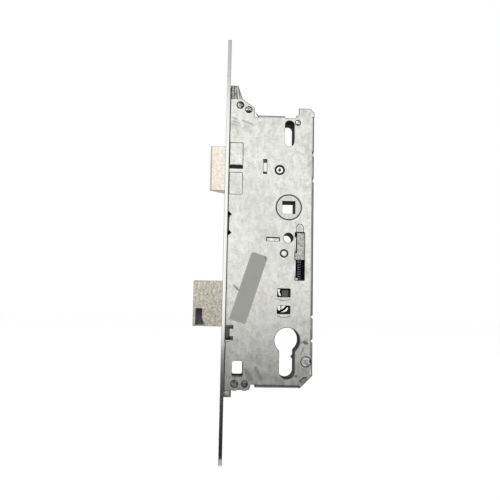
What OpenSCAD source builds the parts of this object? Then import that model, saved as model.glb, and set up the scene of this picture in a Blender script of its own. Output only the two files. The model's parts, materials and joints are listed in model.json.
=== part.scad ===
// Mortice lock with a sprung latch and a key-thrown deadbolt, in a riveted sheet case.
// Origin on the follower's axis at mid thickness. X towards the hinge side of the door,
// Y through the door's thickness, Z up. The deadbolt is thrown and the latch is out.

/* [Main sizes] */
// Faceplate front to the follower's axis
backset = 45; // [40:0.5:50]
// Follower's axis down to the cylinder's centre
centres = 92; // [88:0.5:94]
// Follower's axis to the rear edge of the case
case_behind = 17.7; // [17.5:0.1:20]
// Follower's axis up to the top edge of the case
case_above = 64.2; // [62:0.5:68]
// Cylinder's centre down to the bottom edge of the case
case_below = 32; // [30:0.5:36]
// Overall thickness of the case
case_t = 16; // [15.6:0.2:18]
// Thickness of the case sheet
sheet_t = 1.5; // [1.2:0.1:1.6]
// Outside radius of the folded edges
bend_r = 2.2; // [1.8:0.1:2.6]

/* [Faceplate] */
// Width of the faceplate
face_w = 20; // [18:0.5:24]
// Thickness of the faceplate
face_t = 2.5; // [2:0.1:3]
// Follower's axis up to the faceplate's top end
face_above = 119.5; // [112:0.5:130]
// Follower's axis down to the faceplate's bottom end
face_below = 175; // [165:0.5:185]
// Distance of the end fixing holes from the faceplate's ends
fixing_inset = 9; // [7:0.5:12]
// Bore of the end fixing holes
fixing_d = 4.6; // [4:0.1:5]
// Bore of the cylinder screw's hole
cylinder_screw_d = 5.4; // [5.2:0.1:5.8]
// Thread diameter of the two screws that hold the faceplate to the case
face_screw_d = 4; // [3.5:0.1:4.4]

/* [Latch] */
// Height of the latch head
latch_h = 31.8; // [30:0.2:33]
// Follower's axis up to the middle of the latch head
latch_mid = 26.9; // [26.6:0.1:27.5]
// Thickness of the latch head
latch_t = 12; // [11:0.2:12]
// How far the latch stands out of the faceplate
latch_out = 10.5; // [9.5:0.1:10.5]
// Length of the latch head behind the faceplate's front
latch_in = 12.5; // [11:0.5:14]
// Wire of the latch spring
latch_wire = 0.7; // [0.6:0.05:0.8]
// Turns of the latch spring
latch_turns = 11; // [8:1:12]

/* [Deadbolt] */
// Height of the deadbolt head
bolt_h = 31.3; // [30:0.1:31.5]
// Follower's axis down to the deadbolt's upper side
bolt_top = 52.1; // [51.9:0.1:52.5]
// Thickness of the deadbolt head
bolt_t = 12; // [11:0.2:12]
// Throw of the deadbolt
bolt_throw = 20; // [17:0.5:20]
// Length of the deadbolt head behind the faceplate's front
bolt_in = 13.2; // [11:0.2:13.2]
// Thickness of the deadbolt's tail plate
tail_t = 3; // [2.5:0.1:3]

/* [Follower and return slider] */
// Side of the spindle's square hole
spindle_sq = 9; // [8:0.5:9]
// Diameter of the follower's collars in the case
collar_d = 17.7; // [16:0.1:18]
// Diameter of the follower's body between the plates
hub_d = 21.2; // [20:0.2:21.6]
// Angle that the handle turns
handle_turn = 38; // [36:0.5:40]
// Wire of the return spring
return_wire = 0.9; // [0.7:0.05:1]
// Turns of the return spring
return_turns = 6; // [5:1:7]
// Outside diameter of the return spring
return_d = 6; // [5:0.1:6.2]

/* [Holes in the case] */
// Radius of the cylinder hole's round end
cylinder_r = 8.7; // [8.6:0.05:9]
// Width of the cylinder hole's web
web_w = 10.6; // [10.2:0.1:11]
// Cylinder's centre down to the web's round end
web_below = 26; // [25:0.5:27]
// Bore of the handle screw holes
handle_bore = 6.7; // [6:0.1:7]
// Follower's axis down to the lower handle screw hole
lower_hole_z = 21.5; // [21.4:0.1:21.8]
// Length of the upper handle screw slot
upper_slot_len = 18.7; // [16:0.1:20]
// Case's top edge down to the middle of the upper handle screw slot
upper_slot_drop = 11.2; // [11:0.1:12.2]
// Width of the slot that shows the return spring
spring_slot_w = 7; // [6.6:0.1:7.2]

/* [Label] */
// Length of the bare label
label_len = 48.8; // [40:0.1:50]
// Width of the bare label
label_w = 11.8; // [8:0.1:13]
// Lean of the label from upright
label_lean = 17.5; // [15:0.5:22]

/* [Hidden] */
$fn = 64;
hole_over = 1;
slide_gap = 0.2;
rest_gap = 0.25;
plate_gap = 0.3;
knuckle = 0.3;
turn_gap = 0.06;

half_t = case_t / 2;
inner_y = half_t - sheet_t;
face_front = -backset;
face_back = face_front + face_t;
rear_in = case_behind - sheet_t;
bottom_z = -(centres + case_below);
bolt_low = -(bolt_top + bolt_h);
cylinder_z = -centres;
upper_slot_z = case_above - upper_slot_drop;

// Outlines of the case plates, as steps from the corner they stand at.
ear_steps = [[0, 21.8], [5.4, 22.6], [8.7, 12.9], [17.3, 6.6], [17.5, 0]];
foot_steps = [[0, -2.1], [4, -2.1], [5.2, 0]];
ear_gap_steps = [[-hole_over, 12.7], [5.2, 12.7], [4.1, 24], [-hole_over, 24]];
foot_lobe_d = 9.2;
top_wall_x = [-22, -3.2];
top_wall_rise = 1.8;
bottom_wall_x = [-21.6, 8.5];
corner_cut = 8.9;
tab_x = 6.4;
tab_h = 7.3;
tab_cut = 3;
tab_fillet = 3;
rear_wall_top = case_above + 1;
foot_notch = [3, 2.2];
edge_notch_z = [38.6, 19.9];
edge_notch = [sheet_t + 0.1, 3.2];
edge_notch_depth = 4;
vee_notch_z = [-75.75, -centres];
vee_notch = [sheet_t + 0.2, 4.6];
front_tab_z = [-17.4, -7.2];
relief_steps = [[-hole_over, -0.4], [0, -0.4], [2.6, 1], [2.6, 1.4], [0, 3.9], [-hole_over, 3.9]];
side_gap_z = [bolt_low + 1.3, bolt_low - 8.8];
side_gap_w = [5.4, 3];
side_gap_bar = 2.4;

// Fastener places, each as x and z.
ear_studs = [[face_back + 7.2, case_above + 8.3], [face_back + 13.3, case_above + 5.1]];
ear_stud_d = [5.2, 4.8];
foot_studs = [[face_back + 7, bottom_z + 2.6], [face_back + 13.9, bottom_z + 2.6]];
foot_stud_d = [5, 4.5];
corner_rivet_at = [5.8, case_above - 3.3];
corner_rivet_d = 4;
spacer_at = [-6.7, 26.4];
spacer_d = 5;
spacer_sink_d = 7;
spacer_sink_h = 1;
spacer_body_d = 6;
spacer_pilot = [2, 3];
lever_at = [-2.9, -32.4];
lever_pin_d = 5.3;
cover_screw_at = [case_behind - 4.8, cylinder_z - 14.1];
cover_screw_d = 6.5;
cover_screw_len = 9;
cover_thread_d = 3.5;
cover_post_d = 5.2;
screw_sink = 1.2;
screw_head_d = 7.6;
recess_w = 0.9;
face_screw_off = [16.8, 3.4];
face_screw_z = [case_above + face_screw_off[0], bottom_z - face_screw_off[1]];
face_screw_len = [7.8, 7];
sleeve_wall = 1;
top_block_steps = [[0, 2], [0, 21.2], [4.3, 21.8], [8.2, 12.5], [16.6, 6.2], [16.8, 2]];
foot_block_steps = [[0, -6.5], [5, -6.5], [5, -1.6], [17.2, -1.6], [17.2, 6.4], [0, 6.4]];

// Sheet-metal features on the visible plate.
press_depth = 0.3;
guide_x = 9.8;
guide_slot_h = 2.3;
guide_slot_z = latch_mid + 0.85;
guide_panel_h = [15.8, 15.6];
abutment_x = -17;
abutment_t = 2.6;
abutment_h = 9.8;
abutment_z = 28.6;
tenon_gap = 0.3;
stop_x = [-15, -6.4];
stop_t = 2.1;
stop_top = -21.9;
stop_slot_gap = 0.6;
rect_hole_x = [-37.2, -30];
rect_hole_z = [bottom_z + 7.4, bottom_z + 17.8];
window_x = [-7.2, 1.8];
window_high = [-62.5, -56.7];
window_low = [-74, -68.4];
slot_top = -17.3;
slot_bottom = -50.9;
dimple_top = -11.6;
dimple_w = 4.8;

// Latch train. The tail's lug stays just ahead of the follower's arm all the way.
arm_tip_r = 2.6;
arm_lean = 15;
arm_travel_share = 0.99;
arm_r = arm_travel_share * latch_out / (sin(handle_turn - arm_lean) + sin(arm_lean));
arm_tip = [-arm_r * sin(arm_lean), arm_r * cos(arm_lean)];
latch_back = face_front + latch_in;
tail_y = 2;
arm_w = 3.6;
tail_low = arm_r + arm_tip_r + 0.4;
tail_h = 3.4;
tail_high = tail_low + tail_h;
lug_x = arm_tip[0] + arm_tip_r + slide_gap;
lug_w = 4;
lug_low = 13.4;
tail_root = 6;
latch_pin_d = 3;
latch_pin_at = [-19, tail_low - 1.5];
pin_lug = [3, 2.3];
latch_spring_d = 7;
spring_pocket = 10.5;
latch_nose = [1.8, 3.4, 1.8];
latch_ease = 0.9;
latch_bevel_start = 0.6;

// Return train. The slider's pad stays just below the follower's side arm.
side_arm_r = 12;
side_arm_rise = 10;
side_tip_r = 2.5;
side_tip = [side_arm_r * cos(side_arm_rise), side_arm_r * sin(side_arm_rise)];
arm_half_t = 2.5;
hub_half_t = 2.9;
stop_arm_r = 2.5;
stop_arm_at = [-10.5, stop_top + rest_gap + stop_arm_r];
pad_x = [hub_d / 2 + 0.5, rear_in - plate_gap];
pad_top = side_tip[1] - side_tip_r - rest_gap;
slot_mid_x = 8;
slider_left = [slot_mid_x - spring_slot_w / 2 + 1.6, slot_mid_x - spring_slot_w / 2 + 0.3];
slider_top = slot_top - 0.3;
slider_step = -31.7;
slider_foot = -36.5;
spring_y = -(inner_y - plate_gap) + return_d / 2;
slider_y = [-(inner_y - plate_gap), arm_half_t];

// Change lever, in the front layer between the visible plate and the tails.
lever_t = 2.8;
lever_y = [-inner_y + plate_gap, -inner_y + plate_gap + lever_t];
lever_w = 4.5;
lever_elbows = [[-20.6, -29.6], [-21.3, 6]];
lever_foot = [[-1.6, -52], [2.6, cylinder_z + 16.2]];
lever_boss_r = 5.2;
fork_slot_w = latch_pin_d + 0.7;
fork_wall = 2;
fork_reach = [6, 1.5];
fork_slot_depth = 2.6;

// Deadbolt train. The cylinder's cam turns at cam_r and works in the tail's notch.
cam_r = 15.5;
bolt_tip = face_front - bolt_throw + 0.2;
bolt_back = face_front + bolt_in;
tail_back_y = 0.7;
tail_front_y = tail_back_y - tail_t;
tail_top = -66;
tail_foot = cylinder_z + cam_r * cos(41);
notch_w = 7.4;
notch_top = cylinder_z + cam_r + 0.6;
tail_end = rear_in - plate_gap - bolt_throw;
tooth_w = 2.2;
guide_post_d = 3.4;
guide_post_at = [bolt_back + bolt_throw + 2.8, -70.6];
guide_gap = 0.3;
bolt_rivet_d = 3;
bolt_rivet_in = 5;
bolt_rivet_x = bolt_back - bolt_rivet_in;
bolt_rivet_z = [-69, -78];
bolt_root = 8;
bolt_edge = 0.6;
bolt_pocket_steps = [[1.9, -1], [8.6, -1], [6.3, 5.6], [6.3, 12.2], [1.9, 12.2]];
bolt_pocket_depth = 4;

// Tumbler, in the back layer behind the tails.
tumbler_y = [1.3, 4.1];
tumbler_at = [-30, -46.5];
tumbler_pin_d = 4;
tumbler_w = 4.6;
tumbler_peg_d = 3;
tumbler_peg_in = 3.6;
tumbler_peg_at = [bolt_back + bolt_throw + tumbler_peg_in, tail_top + tumbler_peg_d / 2 + rest_gap];
tumbler_foot = [0, cylinder_z + cam_r + 0.8];
tumbler_hip_gap = 0.9;
tumbler_hip = guide_post_at + [(guide_post_d + tumbler_w) / 2 + tumbler_hip_gap, 0];
tumbler_knee_drop = 1.5;
tumbler_knee = [tumbler_peg_at[0], tumbler_at[1] - tumbler_knee_drop];
tumbler_boss_d = 8;
tumbler_head = [7, 0.9];
tumbler_spring_x = -13;
tumbler_spring_d = 4.4;
tumbler_wire = 0.5;
tumbler_turns = 6;
tumbler_seat_z = -36.5;
tumbler_seat_w = 6;

label_at = [-27, -56.6];
label_t = 0.15;
label_r = 1.9;

zinc_plate = [0.78, 0.78, 0.76];
steel = [0.7, 0.71, 0.72];
cast_zinc = [0.8, 0.76, 0.72];
dark_steel = [0.16, 0.17, 0.24];
grey_label = [0.66, 0.67, 0.65];

// Extrudes an x-z drawing between two depths.
module slab(y0, y1) {
    translate([0, y1, 0]) rotate([90, 0, 0]) linear_extrude(y1 - y0) children();
}

// Round bar through the thickness at an x-z place.
module pin_through(at, d, y0, y1) {
    translate([at[0], y1, at[1]]) rotate([90, 0, 0]) cylinder(d = d, h = y1 - y0);
}

// Flat bar with round ends and corners along a list of points, and knuckles wider than the bar.
module link(points, w, knuckle = 0) {
    for (i = [0:len(points) - 2]) {
        run = points[i + 1] - points[i];
        translate(points[i]) rotate(atan2(run[1], run[0])) translate([0, -w / 2]) square([norm(run), w]);
    }
    for (p = points) translate(p) circle(d = w + knuckle);
}

// Rectangle between two corners with rounded corners.
module window(x, z, r) {
    translate([x[0] + r, z[0]]) square([x[1] - x[0] - 2 * r, z[1] - z[0]]);
    translate([x[0], z[0] + r]) square([x[1] - x[0], z[1] - z[0] - 2 * r]);
    for (cx = [x[0] + r, x[1] - r], cz = [z[0] + r, z[1] - r]) translate([cx, cz]) circle(r);
}

// Section of a folded edge: the outer face at u = 0, the plate's front face at v = 0.
module fold_section() {
    difference() {
        intersection() {
            translate([-bend_r, bend_r]) circle(bend_r);
            translate([-bend_r, 0]) square(bend_r);
        }
        translate([-bend_r, bend_r]) circle(bend_r - sheet_t);
    }
    translate([-sheet_t, bend_r]) square([sheet_t, case_t - sheet_t - bend_r]);
}

// Outline of both case plates.
module case_outline() {
    ear = [for (p = ear_steps) [face_back + p[0], case_above + p[1]]];
    foot = [for (p = foot_steps) [face_back + p[0], bottom_z + p[1]]];
    polygon(concat(ear, [[case_behind, case_above], [case_behind, bottom_z + corner_cut],
        [case_behind - corner_cut, bottom_z]],
        [for (i = [len(foot) - 1:-1:0]) foot[i]]));
    polygon([[tab_x, case_above], [tab_x, case_above + tab_h],
        [case_behind - tab_cut, case_above + tab_h],
        [case_behind, case_above + tab_h - tab_cut], [case_behind, case_above]]);
    difference() {
        translate([tab_x - tab_fillet, case_above]) square(tab_fillet);
        translate([tab_x - tab_fillet, case_above + tab_fillet]) circle(tab_fillet);
    }
    for (p = foot_studs) translate(p) circle(d = foot_lobe_d);
    translate([top_wall_x[0], case_above - bend_r])
        square([top_wall_x[1] - top_wall_x[0], bend_r + top_wall_rise]);
}

// Slot for the upper handle screw, drawn at any width.
module upper_slot(w) {
    half = (upper_slot_len - handle_bore) / 2;
    link([[0, upper_slot_z - half], [0, upper_slot_z + half]], w);
}

// Holes that go through both plates.
module through_holes() {
    circle(d = collar_d + 2 * turn_gap);
    translate([0, -lower_hole_z]) circle(d = handle_bore);
    upper_slot(handle_bore);
    translate([0, cylinder_z]) circle(cylinder_r);
    translate([0, cylinder_z]) link([[0, 0], [0, -(web_below - web_w / 2)]], web_w);
    window(rect_hole_x, rect_hole_z, 1.2);
    for (i = [0, 1]) {
        translate(ear_studs[i]) circle(d = ear_stud_d[i]);
        translate(foot_studs[i]) circle(d = foot_stud_d[i]);
    }
    translate(corner_rivet_at) circle(d = corner_rivet_d);
    translate(lever_at) circle(d = lever_pin_d);
    translate(spacer_at) circle(d = spacer_d);
    window([abutment_x - abutment_t / 2, abutment_x + abutment_t / 2],
        [abutment_z - abutment_h / 2 - tenon_gap, abutment_z + abutment_h / 2 + tenon_gap], 0.3);
    window([stop_x[0] - tenon_gap, stop_x[1] + tenon_gap],
        [stop_top - stop_t, stop_top + stop_slot_gap], 0.3);
}

// Openings and slots of the visible plate alone.
module front_holes() {
    window([slot_mid_x - spring_slot_w / 2, slot_mid_x + spring_slot_w / 2],
        [slot_bottom, slot_top], 0.8);
    window(window_x, window_high, 0.6);
    window(window_x, window_low, 0.6);
    translate(cover_screw_at) circle(d = cover_thread_d);
    window([face_back - hole_over, face_back + guide_x],
        [guide_slot_z - guide_slot_h / 2, guide_slot_z + guide_slot_h / 2], 0.3);
    for (end = [0, 1]) translate([face_back, front_tab_z[end]]) mirror([0, 1 - end])
        polygon(relief_steps);
    translate([face_back - hole_over, side_gap_z[1]])
        square([side_gap_w[1] + hole_over, side_gap_z[0] - side_gap_z[1]]);
    for (z = [side_gap_z[1], side_gap_z[0] - side_gap_bar]) translate([face_back - hole_over, z])
        square([side_gap_w[0] + hole_over, side_gap_bar]);
    translate([bottom_wall_x[0] - foot_notch[0], bottom_z - hole_over])
        square([foot_notch[0], foot_notch[1] + hole_over]);
    polygon(placed(ear_gap_steps, face_back, case_above));
}

// Square notches in the rear edge.
module edge_notches() {
    for (z = edge_notch_z) translate([case_behind - edge_notch[0], z - edge_notch[1] / 2])
        square([edge_notch[0] + hole_over, edge_notch[1]]);
}

// Pointed notches in the rear edge, cut through both plates.
module vee_notches() {
    for (z = vee_notch_z) polygon([[case_behind - vee_notch[0], z],
        [case_behind + hole_over, z + vee_notch[1] / 2],
        [case_behind + hole_over, z - vee_notch[1] / 2]]);
}

// Areas of the visible plate that are pressed in a little.
module pressed_areas() {
    high = guide_slot_z + guide_slot_h / 2 + 0.4;
    low = guide_slot_z - guide_slot_h / 2 - 2.7;
    window([face_back + 0.6, face_back + guide_x], [high, high + guide_panel_h[0]], 0.8);
    window([face_back + 0.6, face_back + guide_x], [low - guide_panel_h[1], low], 0.8);
    translate([slot_mid_x, dimple_top - dimple_w / 2]) circle(d = dimple_w);
    translate([slot_mid_x - dimple_w / 2, slot_top])
        square([dimple_w, dimple_top - dimple_w / 2 - slot_top]);
}

// Countersink cut or screw head, from the visible face inwards.
module sunk_cone(at, y, d_out, d_in, depth) {
    translate([at[0], y, at[1]]) rotate([-90, 0, 0]) cylinder(d1 = d_out, d2 = d_in, h = depth);
}

// Folded edges of the visible shell.
module folded_walls() {
    wall_foot = bottom_z + corner_cut;
    translate([case_behind, -half_t, wall_foot]) linear_extrude(rear_wall_top - wall_foot) fold_section();
    translate([bottom_wall_x[0], -half_t, bottom_z]) rotate([0, 90, 0])
        linear_extrude(bottom_wall_x[1] - bottom_wall_x[0]) fold_section();
    translate([top_wall_x[1], -half_t, case_above + top_wall_rise]) rotate([0, -90, 0])
        linear_extrude(top_wall_x[1] - top_wall_x[0]) fold_section();
    translate([face_back, -half_t, front_tab_z[0]]) mirror([1, 0, 0])
        linear_extrude(front_tab_z[1] - front_tab_z[0]) fold_section();
}

// Strips of the plate that the folds take the place of.
module fold_strips() {
    wall_foot = bottom_z + corner_cut;
    translate([case_behind - bend_r, wall_foot])
        square([bend_r + hole_over, rear_wall_top - wall_foot]);
    translate([bottom_wall_x[0], bottom_z - hole_over])
        square([bottom_wall_x[1] - bottom_wall_x[0], bend_r + hole_over]);
    translate([top_wall_x[0], case_above + top_wall_rise - bend_r])
        square([top_wall_x[1] - top_wall_x[0], bend_r + hole_over]);
    translate([face_back - hole_over, front_tab_z[0]])
        square([bend_r + hole_over, front_tab_z[1] - front_tab_z[0]]);
}

module case_shell() {
    color(zinc_plate) difference() {
        union() {
            slab(-half_t, -inner_y) difference() {
                case_outline();
                fold_strips();
            }
            folded_walls();
            slab(-inner_y, -inner_y + press_depth) pressed_areas();
            translate([slot_mid_x - spring_slot_w / 2, -inner_y, slot_bottom - sheet_t])
                cube([spring_slot_w, return_d, sheet_t]);
        }
        slab(-half_t - hole_over, -inner_y + press_depth + hole_over) {
            through_holes();
            front_holes();
        }
        slab(-half_t - hole_over, -half_t + press_depth) pressed_areas();
        pin_through(spacer_at, spacer_sink_d, -half_t - hole_over, -half_t + spacer_sink_h);
        slab(-half_t - hole_over, -half_t + edge_notch_depth) edge_notches();
        slab(-half_t - hole_over, half_t + hole_over) vee_notches();
        sunk_cone(cover_screw_at, -half_t, cover_screw_d, cover_thread_d, screw_sink);
    }
}

module cover_plate() {
    color(zinc_plate) {
        slab(inner_y, half_t) difference() {
            case_outline();
            through_holes();
            vee_notches();
            translate(tumbler_at) circle(d = tumbler_pin_d);
            translate(guide_post_at) circle(d = guide_post_d);
        }
        translate([tumbler_spring_x - tumbler_seat_w / 2, tumbler_y[0], tumbler_seat_z])
            cube([tumbler_seat_w, inner_y - tumbler_y[0], sheet_t]);
    }
}

// Bar along X through the faceplate.
module face_hole(y, z, d) {
    translate([face_front - hole_over, y, z]) rotate([0, 90, 0]) cylinder(d = d, h = face_t + 2 * hole_over);
}

// Countersink in the faceplate's front.
module face_sink(z, d_out, d_in, depth) {
    translate([face_front, 0, z]) rotate([0, 90, 0]) cylinder(d1 = d_out, d2 = d_in, h = depth);
}

// Opening in the faceplate for a bolt that slides through it.
module face_mouth(thick, low, high) {
    translate([face_front - hole_over, -thick / 2 - slide_gap, low - slide_gap])
        cube([face_t + 2 * hole_over, thick + 2 * slide_gap, high - low + 2 * slide_gap]);
}

module faceplate() {
    color(steel) difference() {
        translate([face_front, -face_w / 2, -face_below]) cube([face_t, face_w, face_above + face_below]);
        face_mouth(latch_t, latch_mid - latch_h / 2, latch_mid + latch_h / 2);
        face_mouth(bolt_t, -bolt_top - bolt_h, -bolt_top);
        for (z = [face_above - fixing_inset, -face_below + fixing_inset]) {
            face_hole(0, z, fixing_d);
            face_sink(z, fixing_d + 2 * screw_sink, fixing_d, screw_sink);
        }
        face_hole(0, cylinder_z, cylinder_screw_d);
        face_sink(cylinder_z, cylinder_screw_d + 2 * screw_sink, cylinder_screw_d, screw_sink);
        for (z = face_screw_z) {
            face_hole(0, z, face_screw_d);
            face_sink(z, screw_head_d, face_screw_d, (screw_head_d - face_screw_d) / 2);
        }
    }
}

// Steps of an outline, moved to the corner that they start from.
function placed(steps, x, z) = [for (p = steps) [x + p[0], z + p[1]]];

// Cast block between the plates, with studs riveted over outside them.
module mounting_block(steps, z, studs, stud_d, screw_z) {
    color(cast_zinc) difference() {
        union() {
            slab(-inner_y, inner_y) polygon(placed(steps, face_back, z));
            for (i = [0, 1]) pin_through(studs[i], stud_d[i], -half_t, half_t);
        }
        translate([face_back - hole_over, 0, screw_z]) rotate([0, 90, 0])
            cylinder(d = face_screw_d, h = 2 * face_screw_len[0]);
    }
}

module top_mounting_block() {
    mounting_block(top_block_steps, case_above, ear_studs, ear_stud_d, face_screw_z[0]);
}

module bottom_mounting_block() {
    mounting_block(foot_block_steps, bottom_z, foot_studs, foot_stud_d, face_screw_z[1]);
}

// Cross recess, cut downwards from the origin.
module cross_recess(size, depth) {
    for (turn = [0, 90]) rotate(turn) translate([-size / 2, -recess_w / 2, -depth])
        cube([size, recess_w, depth + hole_over]);
}

module faceplate_screws() {
    head_h = (screw_head_d - face_screw_d) / 2;
    color(steel) for (i = [0, 1]) difference() {
        translate([face_front, 0, face_screw_z[i]]) rotate([0, 90, 0]) {
            cylinder(d1 = screw_head_d, d2 = face_screw_d, h = head_h);
            cylinder(d = face_screw_d, h = face_screw_len[i]);
        }
        translate([face_front, 0, face_screw_z[i]]) rotate([0, -90, 0]) cross_recess(screw_head_d / 2, 1);
    }
}

module latch_head() {
    tip = face_front - latch_out;
    side = latch_t / 2;
    color(cast_zinc) difference() {
        translate([0, 0, latch_mid - latch_h / 2]) linear_extrude(latch_h)
            polygon([[latch_back, side], [latch_back, -side], [tip + latch_ease, -side],
                [tip, latch_ease - side], [tip, latch_nose[2] - side],
                [tip + latch_nose[0], latch_nose[1] - side], [face_front - latch_bevel_start, side]]);
        translate([latch_back - spring_pocket, 0, abutment_z]) rotate([0, 90, 0])
            cylinder(d = latch_spring_d + 2 * plate_gap, h = spring_pocket + hole_over);
        translate([latch_back - tail_root, -tail_y, tail_low])
            cube([tail_root + hole_over, 2 * tail_y, tail_high - tail_low]);
    }
}

module latch_tail() {
    color(steel) slab(-tail_y, tail_y) difference() {
        polygon([[latch_back - tail_root, tail_high], [latch_back - tail_root, tail_low],
            [latch_pin_at[0] - pin_lug[0], tail_low], latch_pin_at - pin_lug,
            [latch_pin_at[0] + pin_lug[0], latch_pin_at[1] - pin_lug[1]],
            [latch_pin_at[0] + pin_lug[0], tail_low], [lug_x, tail_low], [lug_x, lug_low],
            [lug_x + lug_w, lug_low], [lug_x + lug_w, tail_high]]);
        translate(latch_pin_at) circle(d = latch_pin_d);
    }
}

module latch_pin() {
    color(steel) pin_through(latch_pin_at, latch_pin_d, lever_y[0], tail_y);
}

// Centre line of a coil spring along +Z, with straight ends one wire thick.
function coil_path(length, d, wire, turns) =
    let (r = (d - wire) / 2, steps = 8 * turns, rise = length - 2 * wire)
    concat([[r, 0, 0]],
        [for (i = [0:steps]) [r * cos(45 * i), r * sin(45 * i), wire + rise * i / steps]],
        [[r * cos(45 * steps), r * sin(45 * steps), length]]);

function unit(v) = v / norm(v);

// Six points round each point of the centre line.
function coil_rings(path, wire) =
    let (last = len(path) - 1)
    [for (i = [0:last])
        let (before = i == 0 ? [0, 0, 1] : unit(path[i] - path[i - 1]),
            after = i == last ? [0, 0, 1] : unit(path[i + 1] - path[i]),
            along = unit(before + after),
            radial = unit([path[i][0], path[i][1], 0]),
            outward = unit(radial - (radial * along) * along),
            across = cross(along, outward))
        [for (k = [0:5]) path[i] + wire / 2 * (cos(60 * k) * outward + sin(60 * k) * across)]];

// Least distance between points of turns that lie next to each other.
function least_gap(rings) =
    let (last = len(rings) - 1)
    min([for (i = [0:last]) for (m = [i + 5:1:min(i + 11, last)])
        for (p = rings[i]) for (q = rings[m]) norm(p - q)]);

module coil(length, d, wire, turns) {
    rings = coil_rings(coil_path(length, d, wire, turns), wire);
    last = len(rings) - 1;
    echo(least_gap_mm = least_gap(rings));
    polyhedron(points = [for (ring = rings) for (p = ring) p],
        faces = concat(
            [for (i = [0:last - 1]) for (k = [0:5]) [6 * i + k, 6 * (i + 1) + k, 6 * i + (k + 1) % 6]],
            [for (i = [0:last - 1]) for (k = [0:5])
                [6 * (i + 1) + k, 6 * (i + 1) + (k + 1) % 6, 6 * i + (k + 1) % 6]],
            [for (k = [1:4]) [0, k, k + 1]],
            [for (k = [1:4]) [6 * last, 6 * last + k + 1, 6 * last + k]]));
}

module latch_spring() {
    start = latch_back - spring_pocket + slide_gap;
    color(dark_steel) translate([start, 0, abutment_z]) rotate([0, 90, 0])
        coil(abutment_x - abutment_t / 2 - start, latch_spring_d, latch_wire, latch_turns);
}

module spring_abutment() {
    color(steel) slab(-half_t, half_t)
        translate([abutment_x - abutment_t / 2, abutment_z - abutment_h / 2]) square([abutment_t, abutment_h]);
}

module follower() {
    color(cast_zinc) difference() {
        union() {
            pin_through([0, 0], collar_d, -half_t, half_t);
            pin_through([0, 0], hub_d, -hub_half_t, hub_half_t);
            slab(-arm_half_t, arm_half_t) {
                link([[0, 0], arm_tip], arm_w);
                translate(arm_tip) circle(arm_tip_r);
                link([[0, 0], side_tip], 2 * side_tip_r - knuckle, knuckle);
                link([[0, 0], stop_arm_at], 2 * stop_arm_r - knuckle, knuckle);
            }
        }
        translate([-spindle_sq / 2, -half_t - hole_over, -spindle_sq / 2])
            cube([spindle_sq, case_t + 2 * hole_over, spindle_sq]);
    }
}

module follower_stop() {
    color(steel) slab(-half_t, half_t)
        translate([stop_x[0], stop_top - stop_t]) square([stop_x[1] - stop_x[0], stop_t]);
}

module return_slider() {
    color(cast_zinc) {
        slab(slider_y[0], slider_y[1]) polygon([[pad_x[0], pad_top], [pad_x[1], pad_top],
            [pad_x[1], slider_foot], [slider_left[1], slider_foot], [slider_left[1], slider_step],
            [slider_left[0], slider_step], [slider_left[0], slider_top], [pad_x[0], slider_top]]);
    }
}

module return_spring() {
    color(dark_steel) translate([slot_mid_x, spring_y, slot_bottom])
        coil(slider_foot - slot_bottom - slide_gap, return_d, return_wire, return_turns);
}

// Change lever: pivoted at its rivet, forked round the latch pin, its foot in the cam's way.
module change_lever() {
    out = unit(latch_pin_at - lever_at);
    fork_w = fork_slot_w + 2 * fork_wall;
    fork_root = latch_pin_at - fork_reach[0] * out;
    fork_angle = atan2(out[1], out[0]);
    color(steel) slab(lever_y[0], lever_y[1]) difference() {
        union() {
            translate(lever_at) circle(lever_boss_r);
            link(concat([lever_foot[1], lever_foot[0], lever_at], lever_elbows, [fork_root]), lever_w, knuckle);
            translate(fork_root) rotate(fork_angle) translate([0, -fork_w / 2])
                square([fork_reach[0] + fork_reach[1], fork_w]);
        }
        translate(lever_at) circle(d = lever_pin_d + 2 * turn_gap);
        link([latch_pin_at - fork_slot_depth * out, latch_pin_at + fork_reach[0] * out], fork_slot_w);
    }
}

module lever_rivet() {
    color(steel) pin_through(lever_at, lever_pin_d, -half_t, half_t);
}

module bolt_head() {
    low = -bolt_top - bolt_h;
    color(cast_zinc) difference() {
        slab(-bolt_t / 2, bolt_t / 2) polygon([[bolt_tip, low + bolt_edge], [bolt_tip + bolt_edge, low],
            [bolt_back, low], [bolt_back, -bolt_top], [bolt_tip + bolt_edge, -bolt_top],
            [bolt_tip, -bolt_top - bolt_edge]]);
        slab(-bolt_t / 2 - hole_over, -bolt_t / 2 + bolt_pocket_depth)
            polygon(placed(bolt_pocket_steps, bolt_tip, low));
        translate([bolt_back - bolt_root, tail_front_y, tail_foot])
            cube([bolt_root + hole_over, tail_t, tail_top - tail_foot]);
        for (z = bolt_rivet_z)
            pin_through([bolt_rivet_x, z], bolt_rivet_d, -bolt_t / 2 - hole_over, bolt_t / 2 + hole_over);
    }
}

module bolt_tail() {
    notch_x = tail_end - tooth_w - notch_w;
    slot_w = guide_post_d + 2 * guide_gap;
    color(steel) slab(tail_front_y, tail_back_y) difference() {
        translate([bolt_back - bolt_root, tail_foot])
            square([tail_end - bolt_back + bolt_root, tail_top - tail_foot]);
        translate([notch_x, tail_foot - hole_over]) square([notch_w, notch_top - tail_foot + hole_over]);
        link([guide_post_at - [bolt_throw, 0], guide_post_at], slot_w);
        for (z = bolt_rivet_z) translate([bolt_rivet_x, z]) circle(d = bolt_rivet_d);
    }
}

module bolt_rivets() {
    color(steel) for (z = bolt_rivet_z)
        pin_through([bolt_rivet_x, z], bolt_rivet_d, -bolt_t / 2, bolt_t / 2);
}

module bolt_guide_post() {
    color(steel) pin_through(guide_post_at, guide_post_d, tail_front_y - plate_gap, half_t);
}

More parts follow.
